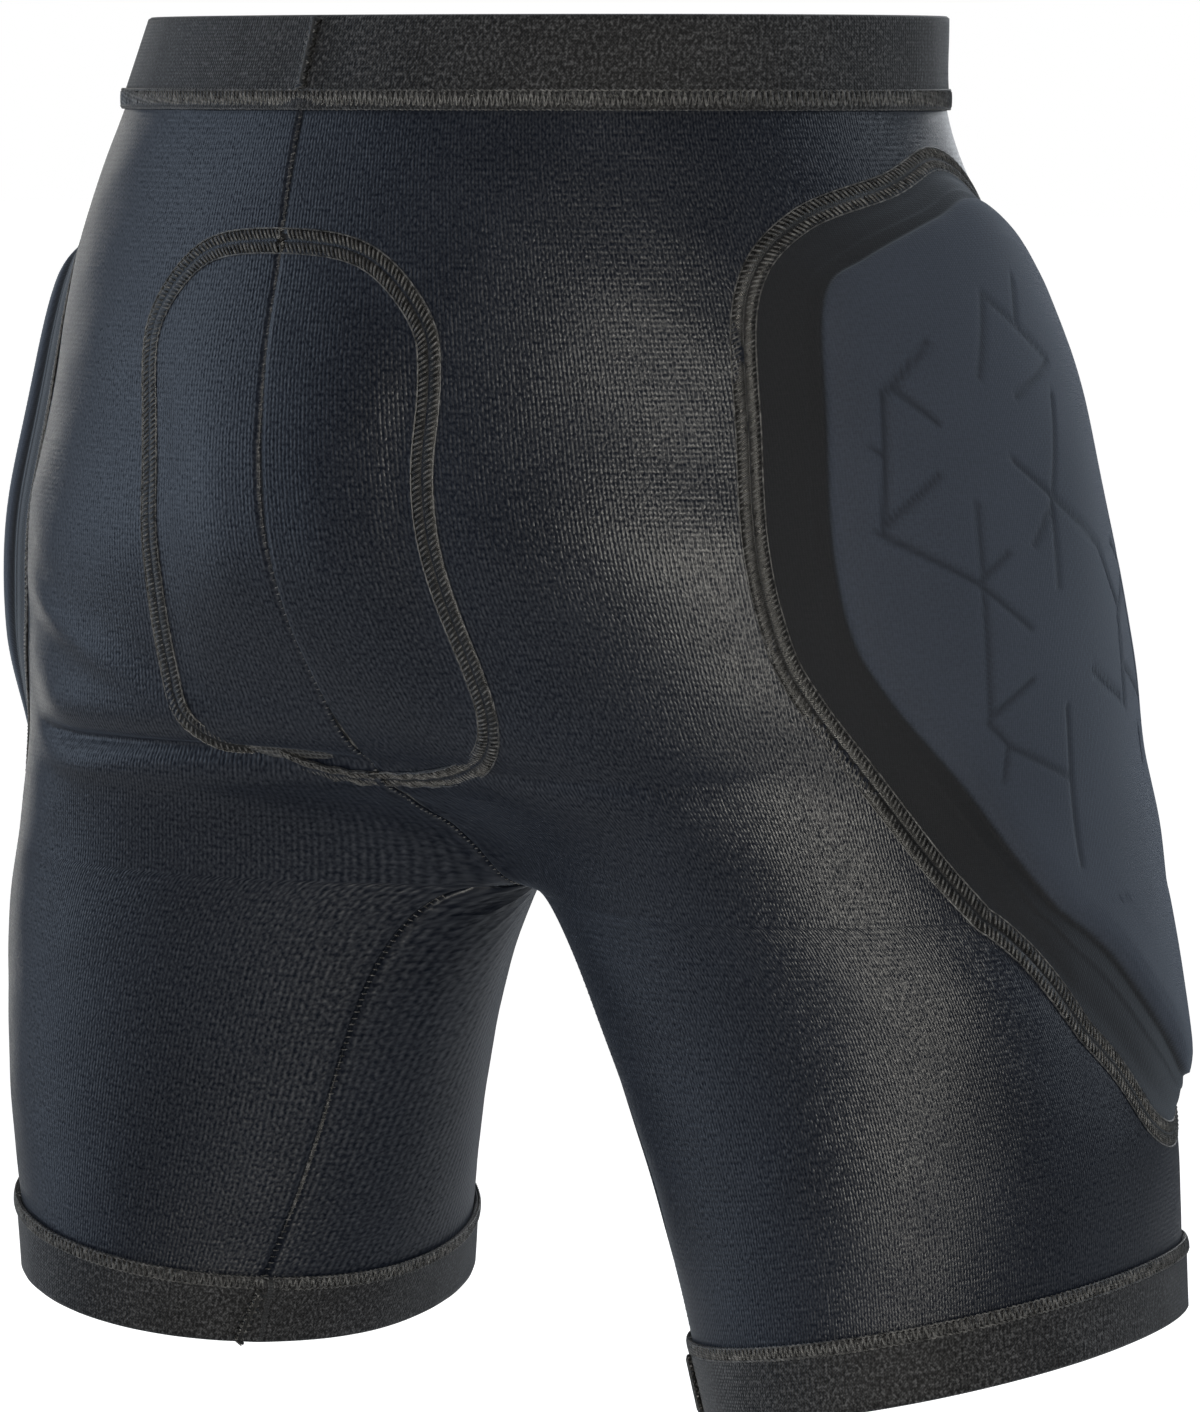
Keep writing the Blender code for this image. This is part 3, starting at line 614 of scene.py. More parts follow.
def cover_knit():
    """Matte slate knit on foam; the flange round the face is painted darker than the face, as
    painted shade on that recessed border.
    """
    s = Shader("cover_knit_and_shade_look", Sheen_Weight=0.30, Sheen_Roughness=0.5,
               Sheen_Tint=(0.70, 0.82, 1.0, 1.0), Specular_IOR_Level=0.20)
    wale = s.wave(s.u, 0.0008)
    course = s.wave(s.v, 0.0007, s.math("MULTIPLY", wale, 1.5))
    yarn = s.noise(0.0009, 1.0, (1.0, 0.8))
    patch = s.noise(0.05, 3.0)
    loop = s.math("MULTIPLY_ADD", course, 0.4, s.math("MULTIPLY", wale, 0.6))
    tone = s.math("MULTIPLY_ADD", s.spread(yarn, 0.0, 1.0), 0.45, s.math("MULTIPLY", loop, 0.35))
    tone = s.math("ADD", tone, s.spread(patch, -0.10, 0.14))
    face = s.mix(tone, (0.032, 0.039, 0.056), (0.066, 0.078, 0.108))
    # painted shade: a darker copy of the same knit on the flange outside the face, for the shade on
    # that recessed border
    rim = s.mix(tone, (0.009, 0.010, 0.012), (0.030, 0.031, 0.036))
    color = s.mix(s.attribute("face"), rim, face)
    # painted shade: the flex grooves are darkened in the colour, for the shade inside these
    # recesses
    color = s.mix(s.attribute("groove"), color, (0.016, 0.019, 0.027))
    rough = s.math("ADD", s.spread(yarn, 0.66, 0.84), s.spread(patch, -0.04, 0.04))
    height = s.math("ADD", loop, s.spread(yarn, -0.4, 0.4))
    return s.finish(color, rough, height, 0.00012, 0.6)


def elastic_webbing():
    """Heathered webbing: fine upright ribs, grey and black yarns."""
    s = Shader("elastic_look", Sheen_Weight=0.20, Sheen_Roughness=0.4,
               Sheen_Tint=(0.85, 0.90, 1.0, 1.0), Specular_IOR_Level=0.35)
    rib = s.wave(s.u, 0.0011)
    pick = s.wave(s.v, 0.0011, s.math("MULTIPLY", rib, 3.1))
    yarn = s.noise(0.0013, 1.0, (1.3, 0.8))
    fleck = s.noise(0.0008, 1.0, (1.0, 1.0))
    patch = s.noise(0.02, 2.0)
    tone = s.math("MULTIPLY_ADD", s.spread(yarn, -0.2, 1.1), 0.6, s.math("MULTIPLY", pick, 0.15))
    tone = s.math("ADD", tone, s.math("MULTIPLY", s.spread(fleck, -0.2, 1.1), 0.35))
    tone = s.math("ADD", tone, s.spread(patch, -0.06, 0.06))
    tone = s.math("POWER", s.math("MAXIMUM", tone, 0.0), 2.2)
    color = s.mix(tone, (0.001, 0.001, 0.002), (0.110, 0.112, 0.120))
    rough = s.spread(yarn, 0.55, 0.80)
    height = s.math("ADD", s.math("MULTIPLY", rib, 0.6), s.math("MULTIPLY_ADD", pick, 0.5, yarn))
    return s.finish(color, rough, height, 0.00022, 0.8)


def sewing_thread(name, dark, light):
    """Black polyester thread with a twist; its twist and patches lift the colour from dark towards
    light, painted glints where light is pale.
    """
    s = Shader(name, Sheen_Weight=0.15, Sheen_Roughness=0.3, Specular_IOR_Level=0.7)
    twist = s.wave(s.u, 0.0007, s.math("MULTIPLY", s.v, 2 * math.pi / 0.0009))
    patch = s.noise(0.0018, 2.0)
    tone = s.math("ADD", s.math("MULTIPLY", twist, 0.35), s.spread(patch, 0.0, 0.7))
    tone = s.math("POWER", s.math("MAXIMUM", tone, 0.0), 1.9)
    color = s.mix(tone, dark, light)
    return s.finish(color, s.spread(patch, 0.26, 0.46), twist, 0.00010, 0.7)


def lining_mesh():
    """Open warp-knit mesh: staggered round holes."""
    s = Shader("lining_look", Sheen_Weight=0.2, Specular_IOR_Level=0.3)
    across = s.math("SINE", s.math("MULTIPLY", s.u, math.pi / 0.0013))
    along_it = s.math("SINE", s.math("MULTIPLY", s.v, math.pi / 0.0013))
    hole = s.math("ABSOLUTE", s.math("MULTIPLY", across, along_it))
    yarn = s.noise(0.0005, 1.0, (1.0, 1.0))
    color = s.mix(s.math("SMOOTH_MIN", s.math("MULTIPLY", hole, 1.6), 1.0, 0.2),
                  (0.055, 0.058, 0.066), (0.008, 0.009, 0.011))
    return s.finish(color, s.spread(yarn, 0.7, 0.9), s.math("SUBTRACT", yarn, hole), 0.0003, 0.8)


def closed_foam():
    """Matte closed-cell foam."""
    s = Shader("foam_look", Specular_IOR_Level=0.3)
    cells = s.noise(0.0009, 2.0)
    patch = s.noise(0.012, 2.0)
    color = s.mix(s.math("ADD", s.spread(cells, 0.0, 0.6), s.spread(patch, 0.0, 0.3)),
                  (0.018, 0.019, 0.022), (0.045, 0.047, 0.052))
    return s.finish(color, s.spread(cells, 0.80, 0.95), cells, 0.0002, 0.6)


KNIT = stretch_knit()
COVER = cover_knit()
ELASTIC = elastic_webbing()
# painted highlight: the pale light colour paints glints into the black thread
SEWING_AND_GLINTS = sewing_thread("thread_and_glint_look", (0.005, 0.005, 0.006), (0.260, 0.260, 0.262))
# painted shade: near-black seam cloth, darker than the knit, for the cloth and the shade in the
# gaps between stitches
SEAM_CLOTH_AND_SHADE = sewing_thread("seam_cloth_and_shade_look", (0.001, 0.001, 0.001), (0.007, 0.007, 0.008))
LINING_MESH = lining_mesh()
FOAM = closed_foam()


# ---------------------------------------------------------------- panels and pads

def crowded(start, stop, count, extra):
    """Even steps from start to stop, with extra values put in."""
    return np.unique(np.concatenate([np.linspace(start, stop, count), extra]).round(6))


def stretch_panel(label, side):
    """One half of the body and its leg, with a hole where the hip cover is."""
    ends = np.array([0.0015, 0.0032, 0.0055, 0.0085])
    turns = crowded(-1.0, 1.0, PANEL_COLUMNS, np.concatenate(
        [ends - 1.0, 1.0 - ends, np.arange(0.762, 0.90, 0.0048)]))
    bottom = LENGTH - HEM_WIDTH + LAP
    downs = crowded(WAIST_WIDTH - LAP, bottom, PANEL_ROWS, np.concatenate(
        [np.arange(0.226, 0.256, 0.0012), CROTCH + 0.0008 * np.arange(-8, 9)]))
    turn, down = np.meshgrid(turns, downs)
    cloth_turn = turn
    turn = turn - inseam_shift(down) * ease(SHIFT_FROM, 1.0, np.abs(turn))
    height = skin_height(side, turn, down)
    share = outline_share(HIP_SEAM, HIP_MIDDLE, turn, down)
    height = height - PANEL_TUCK * ease(1.004, 0.986, share)
    base = form(side, turn, down)
    for edge in (0, -1):
        steps = np.linalg.norm(base - base[:, edge][:, None], axis=-1)
        height = height - SEAM_TUCK * hump(steps, SEAM_TUCK_WIDTH)
    normal = form_normal(side, turn, down)
    above = downs <= CROTCH
    normal[above, 0, 0] = normal[above, -1, 0] = 0.0
    points = base + unit(normal) * height[..., None]
    points[..., 0] = side * np.maximum(side * points[..., 0], 0.0)
    points[above, 0, 0] = points[above, -1, 0] = 0.0
    joined = (points[~above, 0] + points[~above, -1]) / 2
    points[~above, 0] = points[~above, -1] = joined
    faces = grid_faces(len(downs), len(turns))
    keep = share.ravel()[faces].mean(1) > 0.985
    uv = np.stack([cloth_turn * TURN_LENGTH, down], -1)
    return shell(f"{label}_stretch_panel", points.reshape(-1, 3), faces[keep],
                 normal.reshape(-1, 3), CLOTH, KNIT, uv.reshape(-1, 2))


def ring_places(seam, face, middle, blends, steps):
    """Rings of outline points from the seam (0) to the face (1) and on to the middle (2)."""
    a = closed_curve(seam, steps)[None]
    b = closed_curve(face, steps)[None]
    blend = np.asarray(blends)[:, None, None]
    return np.where(blend <= 1.0, a + (b - a) * blend, b + (np.array(middle) - b) * (blend - 1.0))


def patch_shell(name, place, rings, height, thickness, material, extra=None):
    """Cloth patch over rings of places, closed in the middle."""
    side, turn, down = place(rings)
    points = lifted(side, turn, down, height)
    rows, columns = rings.shape[:2]
    faces = grid_faces(rows, columns, False, True)
    middle = points[-1].mean(0)
    count = rows * columns
    j = np.arange(columns)
    fan = np.stack([count - columns + j, count - columns + (j + 1) % columns,
                    np.full(columns, count), np.full(columns, count)], -1)
    points = np.concatenate([points.reshape(-1, 3), middle[None]])
    normal = np.concatenate([form_normal(side, turn, down).reshape(-1, 3), np.zeros((1, 3))])
    uv = np.stack([turn * side * TURN_LENGTH, down], -1)
    uv = np.concatenate([uv.reshape(-1, 2), uv[-1].mean(0)[None]])
    values = {key: np.append(v.ravel(), v[-1].mean()) for key, v in (extra or {}).items()}
    faces = np.concatenate([faces, fan])
    return shell(name, points, faces, normal, thickness, material, uv, values)


def cover_profile(blends):
    """Height of the cover at each blend, with softened corners."""
    fine = np.linspace(-0.1, 2.1, 2201)
    rough = np.interp(fine, COVER_BLEND, COVER_HEIGHT)
    kernel = hump(np.linspace(-0.045, 0.045, 91), COVER_SOFTENING)
    smooth = np.convolve(rough, kernel / kernel.sum(), mode="same")
    return np.interp(blends, fine, smooth) / 1000.0


def groove_share(turn, down):
    """1 in the middle of a flex groove, falling to 0 beside it."""
    strokes = list(GROOVES)
    for stroke in GROOVES:
        if min(at for at, _ in stroke) >= GROOVE_SPLIT:
            strokes.append(tuple((GROOVE_MIRROR - at, low) for at, low in stroke))
    here = np.stack([turn * TURN_LENGTH, down], -1)
    nearest = np.full(turn.shape, 1.0)
    for stroke in strokes:
        for start, stop in zip(stroke[:-1], stroke[1:]):
            a = np.array([start[0] * TURN_LENGTH, start[1]])
            b = np.array([stop[0] * TURN_LENGTH, stop[1]])
            t = np.clip(((here - a) @ (b - a)) / ((b - a) @ (b - a)), 0.0, 1.0)
            away = np.linalg.norm(here - a - t[..., None] * (b - a), axis=-1)
            nearest = np.minimum(nearest, away)
    return hump(nearest, GROOVE_WIDTH)


def pad_cover(label, side):
    blends = np.concatenate([np.linspace(0.0, 0.66, 13), np.linspace(0.68, 0.78, 7),
                             np.linspace(0.82, 0.92, 4), np.linspace(0.935, 1.11, 15),
                             np.linspace(1.135, 1.975, 56)])
    rings = ring_places(HIP_SEAM, HIP_FACE, HIP_MIDDLE, blends, 24)
    turn, down = rings[..., 0], rings[..., 1]
    groove = groove_share(turn, down) * ease(1.08, 1.16, blends)[:, None]
    height = cover_profile(blends)[:, None] - GROOVE_DEPTH * groove
    uneven = np.sin(turn * 17.0) * np.sin(down * 70.0)
    height = height + 0.0003 * uneven * ease(1.0, 1.3, blends)[:, None]
    # face is 1 on the raised face; cover_knit paints the flange outside it darker, as painted shade
    face = np.broadcast_to(ease(0.965, 1.005, blends)[:, None], turn.shape)
    # groove also darkens the colour of the flex grooves in cover_knit, as painted shade
    return patch_shell(f"{label}_pad_cover", hip_place(side), rings, height, CLOTH, COVER,
                       {"face": face, "groove": groove * 0.75})


def closed_pad(name, place, rings, top, low, material):
    """Solid pad between a top and a low height for each ring."""
    side, turn, down = place(rings)
    upper = lifted(side, turn, down, top)
    under = lifted(side, turn, down, low)
    rows, columns = rings.shape[:2]
    grid = np.concatenate([under[::-1], upper])
    first = under[-1].mean(0)
    last = upper[-1].mean(0)
    faces = grid_faces(2 * rows, columns, False, True).tolist()
    count = 2 * rows * columns
    j = np.arange(columns)
    start = np.stack([(j + 1) % columns, j, np.full(columns, count)], -1)
    stop = np.stack([count - columns + j, count - columns + (j + 1) % columns,
                     np.full(columns, count + 1)], -1)
    faces += start.tolist() + stop.tolist()
    uv = np.stack([turn * side * TURN_LENGTH, down], -1)
    uv = np.concatenate([uv[::-1].reshape(-1, 2), uv.reshape(-1, 2), uv[-1].mean(0)[None],
                         uv[-1].mean(0)[None]])
    points = np.concatenate([grid.reshape(-1, 3), first[None], last[None]])
    piece = new_piece(name, points, faces, material, uv)
    return outward(piece)


def outward(piece):
    """Turns the faces of a closed piece outwards."""
    mesh = piece.data
    points = np.zeros(len(mesh.vertices) * 3)
    mesh.vertices.foreach_get("co", points)
    points = points.reshape(-1, 3)
    mesh.calc_loop_triangles()
    tris = np.zeros(len(mesh.loop_triangles) * 3, int)
    mesh.loop_triangles.foreach_get("vertices", tris)
    a, b, c = (points[tris.reshape(-1, 3)[:, k]] for k in range(3))
    if (np.cross(a, b) * c).sum() < 0:
        mesh.flip_normals()
    return piece


def hip_foam(label, side):
    blends = np.concatenate([np.linspace(0.40, 0.92, 8), np.linspace(0.95, 1.10, 8),
                             np.linspace(1.2, 1.96, 18)])
    rings = ring_places(HIP_SEAM, HIP_FACE, HIP_MIDDLE, blends, 6)
    top = np.maximum(cover_profile(blends) - 0.0012, 0.0006)[:, None] * np.ones(rings.shape[1])
    groove = groove_share(rings[..., 0], rings[..., 1]) * ease(1.08, 1.16, blends)[:, None]
    return closed_pad(f"{label}_foam_pad", hip_place(side), rings, top - GROOVE_DEPTH * groove,
                      np.full(rings.shape[:2], 0.0001), FOAM)


def hip_lining(label, side):
    rings = ring_places(HIP_SEAM, HIP_FACE, HIP_MIDDLE, np.linspace(-0.12, 1.96, 46), 8)
    height = np.full(rings.shape[:2], -0.0004) + 0.00015 * np.sin(rings[..., 1] * 400.0)
    return patch_shell(f"{label}_pad_lining", hip_place(side), rings, height, LINING, LINING_MESH)


def tail_rings(blends, steps):
    middle = [TAIL_MIDDLE] * len(TAIL_OUTLINE)
    return ring_places(TAIL_OUTLINE, middle, TAIL_MIDDLE, blends, steps)


def tail_parts():
    rings = tail_rings(np.linspace(0.16, 0.97, 30), 6)
    side, turn, down = tail_place(rings)
    top = skin_height(side, turn, down) - 0.0014
    low = np.full(rings.shape[:2], -0.0004)
    pad = closed_pad("tail_foam_pad", tail_place, rings, np.maximum(top, 0.0), low, FOAM)
    rings = tail_rings(np.linspace(-0.01, 0.97, 36), 8)
    height = np.full(rings.shape[:2], -0.0009)
    lining = patch_shell("tail_pad_lining", tail_place, rings, height, LINING, LINING_MESH)
    return pad, lining


# ---------------------------------------------------------------- seams

def outline_course(outline, place, pitch, height):
    side, turn, down = place(closed_curve(outline, 24))
    return Course(side, turn, down, pitch, height, closed=True)


def tail_course(pitch, height):
    """The tailbone outline; its sides meet at the centre back."""
    points = closed_curve(TAIL_OUTLINE, 24)
    far_points = np.concatenate([points, points[:1]])
    side, turn, down = tail_place(far_points)
    far = run_length(form(side, turn, down))
    even = np.linspace(0.0, far[-1], int(far[-1] / pitch) + 1)[:-1]
    spots = np.stack([np.interp(even, far, far_points[:, k]) for k in range(2)], -1)
    side, turn, down = tail_place(spots)
    return Course(side, turn, down, pitch, height, closed=True)


def flatlock(name, course):
    """Flat seam: a strip of cloth under two rows of slanted stitches and two loopers."""
    sideways = np.array([-1.0, -0.92, -0.5, -0.08, 0.0, 0.08, 0.5, 0.92, 1.0]) * SEAM_HALF
    lifts = mm(-0.45, 0.02, 0.12, 0.06, -0.12, 0.06, 0.12, 0.02, -0.45)
    strip = np.stack([course.spot(0.0, s, u) for s, u in zip(sideways, lifts)], 0)
    bottom = np.stack([course.spot(0.0, s, -0.0007) for s in (SEAM_HALF, -SEAM_HALF)], 0)
    grid = np.concatenate([strip, bottom])
    across = np.append(sideways, (0.004, 0.008))
    uv = np.stack(np.broadcast_arrays(course.far[None, :], across[:, None]), -1)
    # the strip is painted near black: the seam's cloth, and painted shade in the gaps between the
    # stitches
    base = outward(loft(name + "_base", grid, SEAM_CLOTH_AND_SHADE, uv, True, True))
    pieces = [base]
    for sign in (-1, 1):
        row = np.array([0.12, 0.30, 0.52, 0.74, 0.94]) * SEAM_HALF * sign
        lean = np.array([-0.55, -0.30, 0.0, 0.30, 0.55]) * STITCH_PITCH * sign
        lift = mm(-0.05, 0.28, 0.36, 0.28, -0.10)
        pieces.append(stitches(f"{name}_row{sign}", course, row, lean, lift, THREAD, SEWING_AND_GLINTS))
        pieces.append(chain(f"{name}_loop{sign}", course, sign * 0.97 * SEAM_HALF, 2.0, 0.00025,
                            0.00015, THREAD * 0.8, SEWING_AND_GLINTS))
    return merge(name, pieces)


def seam_line(name, side, turn, down, central=False):
    """Overlocked seam: an inner tape and the small ladder of stitches in its groove."""
    course = Course(side, turn, down, LADDER_PITCH, skin_height)
    if central:
        for array in (course.normal, course.point):
            array[:, 0] = 0.0
        course.normal = unit(course.normal)
        course.tangent[:, 0] = 0.0
        course.tangent = unit(course.tangent)
        course.across = np.broadcast_to(np.array([1.0, 0.0, 0.0]), course.point.shape)
    ladder = stitches(name + "_ladder", course, mm(-0.9, -0.35, 0.35, 0.9),
                      mm(-0.3, -0.1, 0.1, 0.3), mm(-0.35, -0.25, -0.25, -0.35), 0.00022, SEWING_AND_GLINTS)
    sideways = mm(-3.4, -3.1, -1.5, 0.0, 1.5, 3.1, 3.4, 3.0, 0.0, -3.0)
    lifts = mm(-2.0, -1.75, -1.55, -1.5, -1.55, -1.75, -2.0, -2.25, -2.4, -2.25)
    grid = np.stack([course.spot(0.0, s, u) for s, u in zip(sideways, lifts)], 0)
    uv = np.stack(np.broadcast_arrays(course.far[None, :], sideways[:, None]), -1)
    tape = loft(name + "_tape", grid, SEWING_AND_GLINTS, uv, close_rows=True)
    inner = stitches(name + "_overlock", course, mm(-2.9, -1.2, 1.2, 2.9),
                     mm(-0.9, -0.3, 0.3, 0.9), mm(-2.3, -2.5, -2.5, -2.3), 0.00026, SEWING_AND_GLINTS)
    return merge(name, [outward(tape), ladder, inner])


def centre_seam():
    """Down the back to the crotch and up the front."""
    fall = np.linspace(WAIST_WIDTH - LAP, CROTCH - 0.0003, 180)
    ones = np.ones(len(fall))
    back = seam_line("centre_seam", ones, ones, fall, central=True)
    front = seam_line("centre_seam", ones, -ones, fall[::-1], central=True)
    return merge("centre_seam", [back, front])


def inseam(label, side):
    down = np.linspace(CROTCH + 0.004, LENGTH - HEM_WIDTH, 120)
    return seam_line(f"{label}_inseam", np.full(120, float(side)), 1.0 - inseam_shift(down), down)


# ---------------------------------------------------------------- elastics

def band_course(side_turns, down, pitch, height):
    side, turn = side_turns
    return Course(side, turn, np.full(len(side), down), pitch, height, closed=True, level=True)


def waist_line():
    turn = np.linspace(-1.0, 1.0, 400)
    side = np.concatenate([np.ones(399), -np.ones(399)])
    return side, np.concatenate([turn[::-1][:-1], turn[:-1]])


def leg_line(side):
    return np.full(420, float(side)), np.linspace(-1.0, 1.0, 421)[:-1]


def elastic_band(name, side_turns, start, stop):
    """Webbing ring with rounded edges, gathered a little by its stitching."""
    side, turn = side_turns
    outer = np.linspace(start + ELASTIC_EDGE, stop - ELASTIC_EDGE, 15)
    profile = [(start, 0.5)] + [(d, 1.0) for d in outer] + [(stop, 0.5)]
    profile += [(d, 0.0) for d in outer[::-2]]
    place = run_length(form(side, turn, start))
    rows = []
    uvs = []
    for down, level in profile:
        high = ELASTIC_LOW + (ELASTIC_TOP - ELASTIC_LOW) * level
        ripple = 0.00005 * np.sin(place * 371.0 + 40.0 * down)
        near = np.minimum(place, place[-1] - place)
        lap = ELASTIC_LAP * hump(near, ELASTIC_LAP_WIDTH) * level
        height = high + ripple * level + lap
        rows.append(form(side, turn, down) + level_normal(side, turn, down) * height[:, None])
        uvs.append(np.stack([place, np.full(len(place), down + 0.05 * (level == 0.0))], -1))
    return outward(loft(name, np.stack(rows), ELASTIC, np.stack(uvs), True, True))


def coverstitch(name, side_turns, start, stop):
    """Upright bars of thread between two looper rows."""
    middle = (start + stop) / 2
    half = (stop - start) / 2
    course = band_course(side_turns, middle, BAR_PITCH, ELASTIC_TOP)
    slope = np.array([-1.0, -0.75, -0.3, 0.3, 0.75, 1.0])
    pieces = []
    for shift, lean, radius in ((0.0, 0.22, 0.00042), (0.5, -0.30, 0.00026)):
        pieces.append(stitches(f"{name}_bars{shift}", course, slope * half,
                               (slope * lean + shift) * BAR_PITCH,
                               mm(-0.2, 0.25, 0.34, 0.34, 0.25, -0.2), radius, SEWING_AND_GLINTS))
    fine = band_course(side_turns, middle, BAR_PITCH / 3, ELASTIC_TOP)
    for sideways in (-half, half):
        pieces.append(chain(f"{name}_loop{sideways}", fine, sideways, 3.0, 0.00028, 0.0001,
                            0.00030, SEWING_AND_GLINTS))
    return merge(name, pieces)


def join_zigzag(name, side, turn, start, stop):
    """Zigzag over the butted ends of an elastic, and the dark line between them."""
    teeth = int((stop - start) / TOOTH_PITCH)
    down = np.linspace(start + 0.0008, stop - 0.0006, teeth)
    course = Course(np.full(teeth, float(side)), turn - inseam_shift(down), down,
                    TOOTH_PITCH, ELASTIC_TOP + 0.0009, level=True)
    count = len(course.far)
    swing = np.where(np.arange(count) % 2 == 0, 1.0, -1.0) * TOOTH_REACH
    # the cord and the ridge take the same near-black cloth, painted darker than the knit as shade
    cord = (0.0, 0.00085, 0.0, SEAM_CLOTH_AND_SHADE)
    glint = (0.0007, 0.00030, 0.0006, SEWING_AND_GLINTS)
    numbers = np.arange(count)
    fine = np.linspace(0, count - 1, count * 4)
    pieces = []
    for shift, radius, lift, material in (cord, glint):
        corners = course.spot(np.full(count, shift), swing * (1.0 - 300.0 * shift), lift)
        path, normals = (np.stack([np.interp(fine, numbers, rows[:, k]) for k in range(3)], -1)
                         for rows in (corners, course.normal))
        pieces.append(threads(f"{name}_{lift}", path[None], unit(normals)[None], radius, material))
    ridge = course.spot(0.0, 0.0, -0.0003)
    pieces.append(threads(f"{name}_ridge", ridge[None], course.normal[None], 0.0015, SEAM_CLOTH_AND_SHADE))
    return merge(name, pieces)


# ---------------------------------------------------------------- the whole

def rigid(piece, body, slot, *nodes):
    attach(piece, body)
    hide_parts(*nodes)


def bending(piece, label, slot, *nodes):
    """Cloth of one side: bakes its transform into its mesh and hides the CAD parts it stands for.
    """
    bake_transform(piece)
    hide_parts(*nodes)


def build_middle():
    waist = waist_line()
    band = elastic_band("waist_band", waist, 0.0, WAIST_WIDTH)
    rigid(band, "pelvis", "elastic", "waistband_elastic")
    sewing = coverstitch("waist_stitching", waist, WAIST_WIDTH - LAP + 0.0003, WAIST_WIDTH - 0.0003)
    rigid(sewing, "pelvis", "thread", "waist_coverstitch")
    zigzag = join_zigzag("waist_join", 1, 1.0, 0.0, WAIST_WIDTH - LAP)
    rigid(zigzag, "pelvis", "thread", "waistband_join_stitch")
    rigid(centre_seam(), "pelvis", "thread", "centre_seam_tape")
    pad, lining = tail_parts()
    rigid(pad, "pelvis", "foam", "tailbone_pad")
    rigid(lining, "pelvis", "lining_mesh", "tailbone_pocket_lining")
    seam = flatlock("tail_pad_seam", tail_course(STITCH_PITCH, skin_height))
    rigid(seam, "pelvis", "thread", "tailbone_flatlock")


def build_side(label, side):
    panel = stretch_panel(label, side)
    bending(panel, label, "stretch_knit", f"{label}_body_panel")
    cover = pad_cover(label, side)
    bending(cover, label, "cover_knit", f"{label}_hip_cover")
    pad = hip_foam(label, side)
    bending(pad, label, "foam", f"{label}_hip_pad")
    lining = hip_lining(label, side)
    bending(lining, label, "lining_mesh", f"{label}_hip_pocket_lining")
    course = outline_course(HIP_SEAM, hip_place(side), STITCH_PITCH, PANEL_TOP)
    seam = flatlock(f"{label}_pad_seam", course)
    bending(seam, label, "thread", f"{label}_hip_flatlock")
    inner = inseam(label, side)
    bending(inner, label, "thread", f"{label}_inseam_tape")
    leg = leg_line(side)
    top = LENGTH - HEM_WIDTH
    band = elastic_band(f"{label}_hem_band", leg, top, LENGTH)
    rigid(band, f"{label}_leg", "elastic", f"{label}_hem_elastic")
    sewing = coverstitch(f"{label}_hem_stitching", leg, top + 0.0002, top + HEM_STITCH)
    rigid(sewing, f"{label}_leg", "thread", f"{label}_hem_coverstitch")
    zigzag = join_zigzag(f"{label}_hem_join", side, 1.0, top + HEM_STITCH, LENGTH)
    rigid(zigzag, f"{label}_leg", "thread", f"{label}_hem_join_stitch")


build_middle()
for label_, side_ in SIDES:
    build_side(label_, side_)


# ---------------------------------------------------------------- camera, light and floor

CAMERA_PLACE = Vector((-1.5764, 1.8217, -0.0212))
CAMERA_FORWARD = Vector((0.64553, -0.75897, -0.08519)).normalized()
CAMERA_ROLL = math.radians(0.05)
LENS = 218.96
SENSOR = 36.0
WORLD_LIGHT = 0.07
FLOOR_HALF = 30.0       # half its side
FLOOR_DROP = 0.30       # how far it lies below the hems
LIGHT_AIM = Vector((0.0, 0.0, -0.2))


def add_camera():
    data = bpy.data.cameras.new("camera")
    data.sensor_fit = "HORIZONTAL"
    data.sensor_width = SENSOR
    data.lens = LENS
    data.clip_end = 200.0
    right = CAMERA_FORWARD.cross(Vector((0, 0, 1))).normalized()
    up = right.cross(CAMERA_FORWARD)
    tilted = right * math.cos(CAMERA_ROLL) + up * math.sin(CAMERA_ROLL)
    upright = tilted.cross(CAMERA_FORWARD)
    turned = Matrix((tilted, upright, -CAMERA_FORWARD)).transposed().to_4x4()
    camera = bpy.data.objects.new("camera", data)
    camera.matrix_world = Matrix.Translation(CAMERA_PLACE) @ turned
    bpy.context.scene.collection.objects.link(camera)
    bpy.context.scene.camera = camera


TO_CAMERA = Vector((-0.663, 0.749, 0.0))
VIEW_RIGHT = Vector((-0.754, -0.657, 0.0))


def add_light(name, right, near, up, size, power, color):
    """Soft box placed to the right of, nearer than and above the middle of the shorts."""
    data = bpy.data.lights.new(name, "AREA")
    data.shape = "RECTANGLE"
    data.size, data.size_y = size
    data.energy = power
    data.color = color
    light = bpy.data.objects.new(name, data)
    light.visible_camera = False
    light.location = VIEW_RIGHT * right + TO_CAMERA * near + Vector((0.0, 0.0, up))
    direction = LIGHT_AIM - light.location
    light.rotation_euler = direction.to_track_quat("-Z", "Y").to_euler()
    bpy.context.scene.collection.objects.link(light)


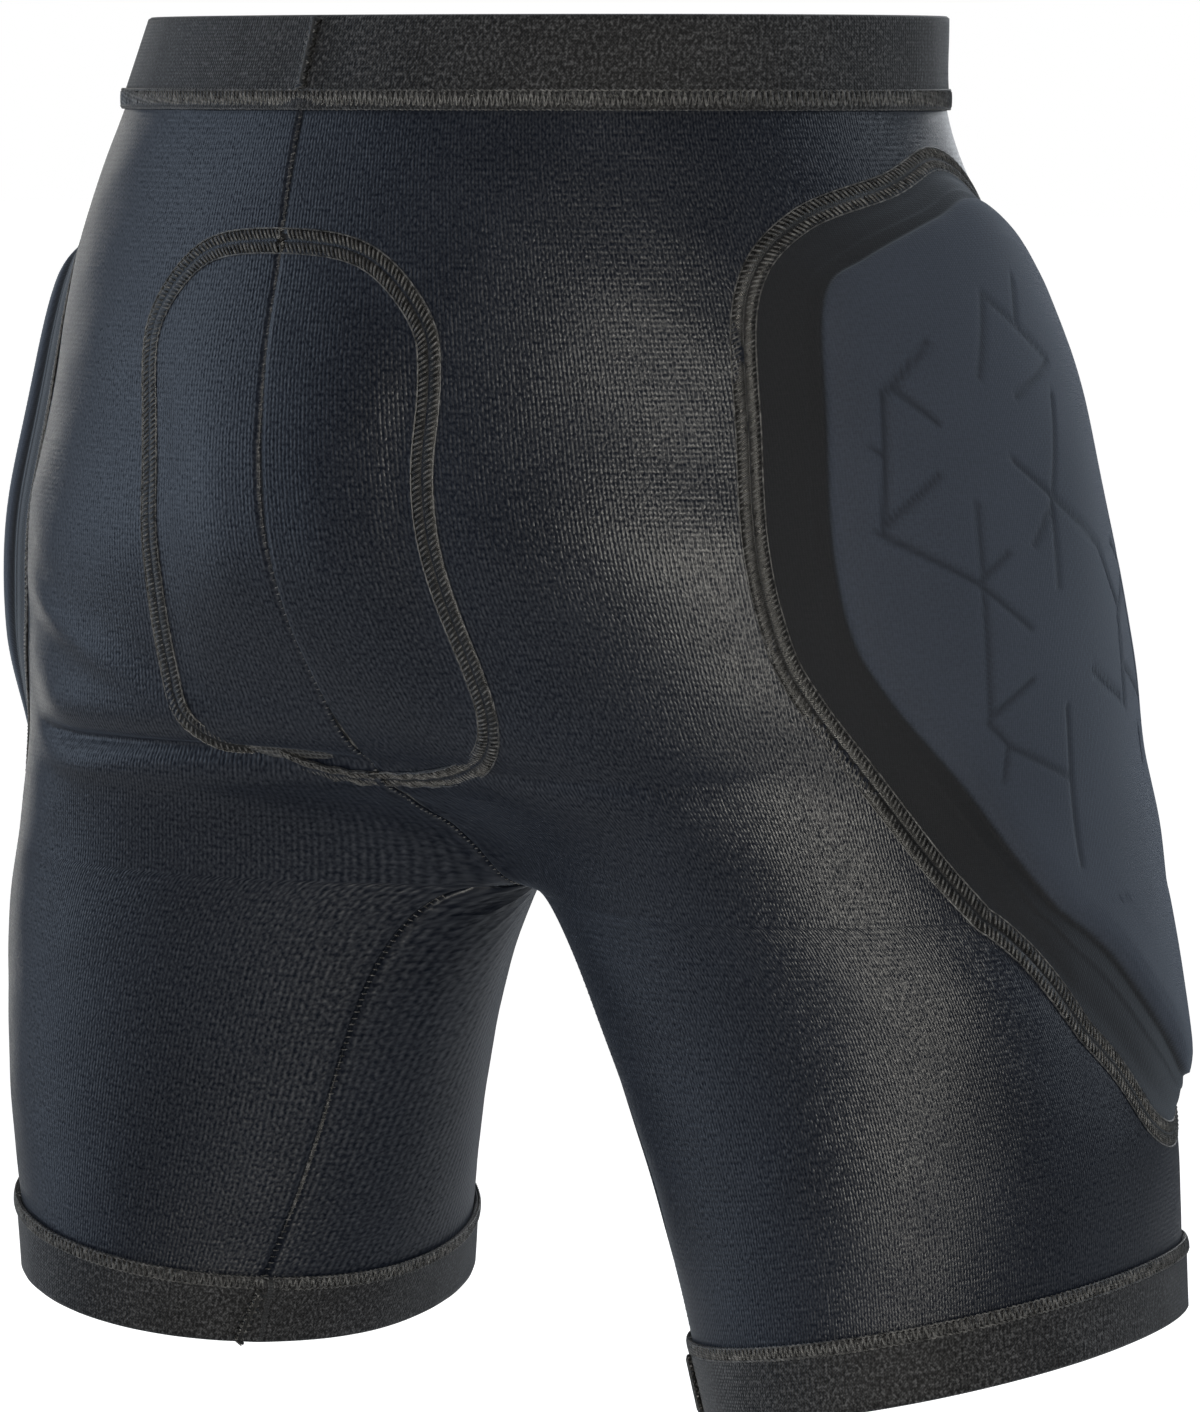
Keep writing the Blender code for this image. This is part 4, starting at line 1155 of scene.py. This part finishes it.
def white_world():
    """White to look at, dimmer as a light."""
    world = bpy.data.worlds.new("studio")
    world.use_nodes = True
    bpy.context.scene.world = world
    tree = world.node_tree
    background = tree.nodes["Background"]
    background.inputs["Color"].default_value = (1.0, 1.0, 1.0, 1.0)
    path = tree.nodes.new("ShaderNodeLightPath")
    strength = tree.nodes.new("ShaderNodeMapRange")
    tree.links.new(path.outputs["Is Camera Ray"], strength.inputs[0])
    strength.inputs[3].default_value = WORLD_LIGHT
    strength.inputs[4].default_value = 1.0
    tree.links.new(strength.outputs[0], background.inputs["Strength"])


def pale_floor():
    level = cad_box[0][2] - FLOOR_DROP
    mesh = bpy.data.meshes.new("floor")
    mesh.from_pydata([(x * FLOOR_HALF, y * FLOOR_HALF, level)
                      for x, y in ((-1, -1), (1, -1), (1, 1), (-1, 1))], [], [(0, 1, 2, 3)])
    floor = bpy.data.objects.new("floor", mesh)
    bpy.context.scene.collection.objects.link(floor)
    material = bpy.data.materials.new("floor_paper")
    material.use_nodes = True
    tree = material.node_tree
    shader = tree.nodes["Principled BSDF"]
    shader.inputs["Base Color"].default_value = (0.5, 0.5, 0.5, 1.0)
    shader.inputs["Roughness"].default_value = 0.9
    shader.inputs["Emission Color"].default_value = (1.0, 1.0, 1.0, 1.0)
    path = tree.nodes.new("ShaderNodeLightPath")
    tree.links.new(path.outputs["Is Camera Ray"], shader.inputs["Emission Strength"])
    mesh.materials.append(material)


add_camera()
white_world()
pale_floor()
add_light("strip", -0.25, 2.3, -0.15, (0.20, 0.74), 21.0, (1.0, 0.96, 0.86))
add_light("low_strip", 0.0, 1.0, -0.58, (0.12, 0.22), 0.45, (1.0, 0.96, 0.86))
add_light("left_box", -1.6, -0.45, 0.0, (1.4, 1.9), 9.0, (0.66, 0.80, 1.0))
add_light("right_box", 1.9, -0.1, 0.5, (0.8, 1.8), 9.0, (0.80, 0.90, 1.0))
add_light("top_box", 0.0, 0.3, 1.9, (1.4, 1.4), 6.0, (1.0, 1.0, 1.0))
add_light("front_box", 0.9, -2.0, 0.6, (1.2, 1.8), 17.0, (0.92, 0.96, 1.0))
add_light("front_strip", -0.9, -2.2, 0.2, (0.35, 1.8), 5.5, (1.0, 0.98, 0.92))
bpy.context.scene.view_settings.view_transform = "Standard"
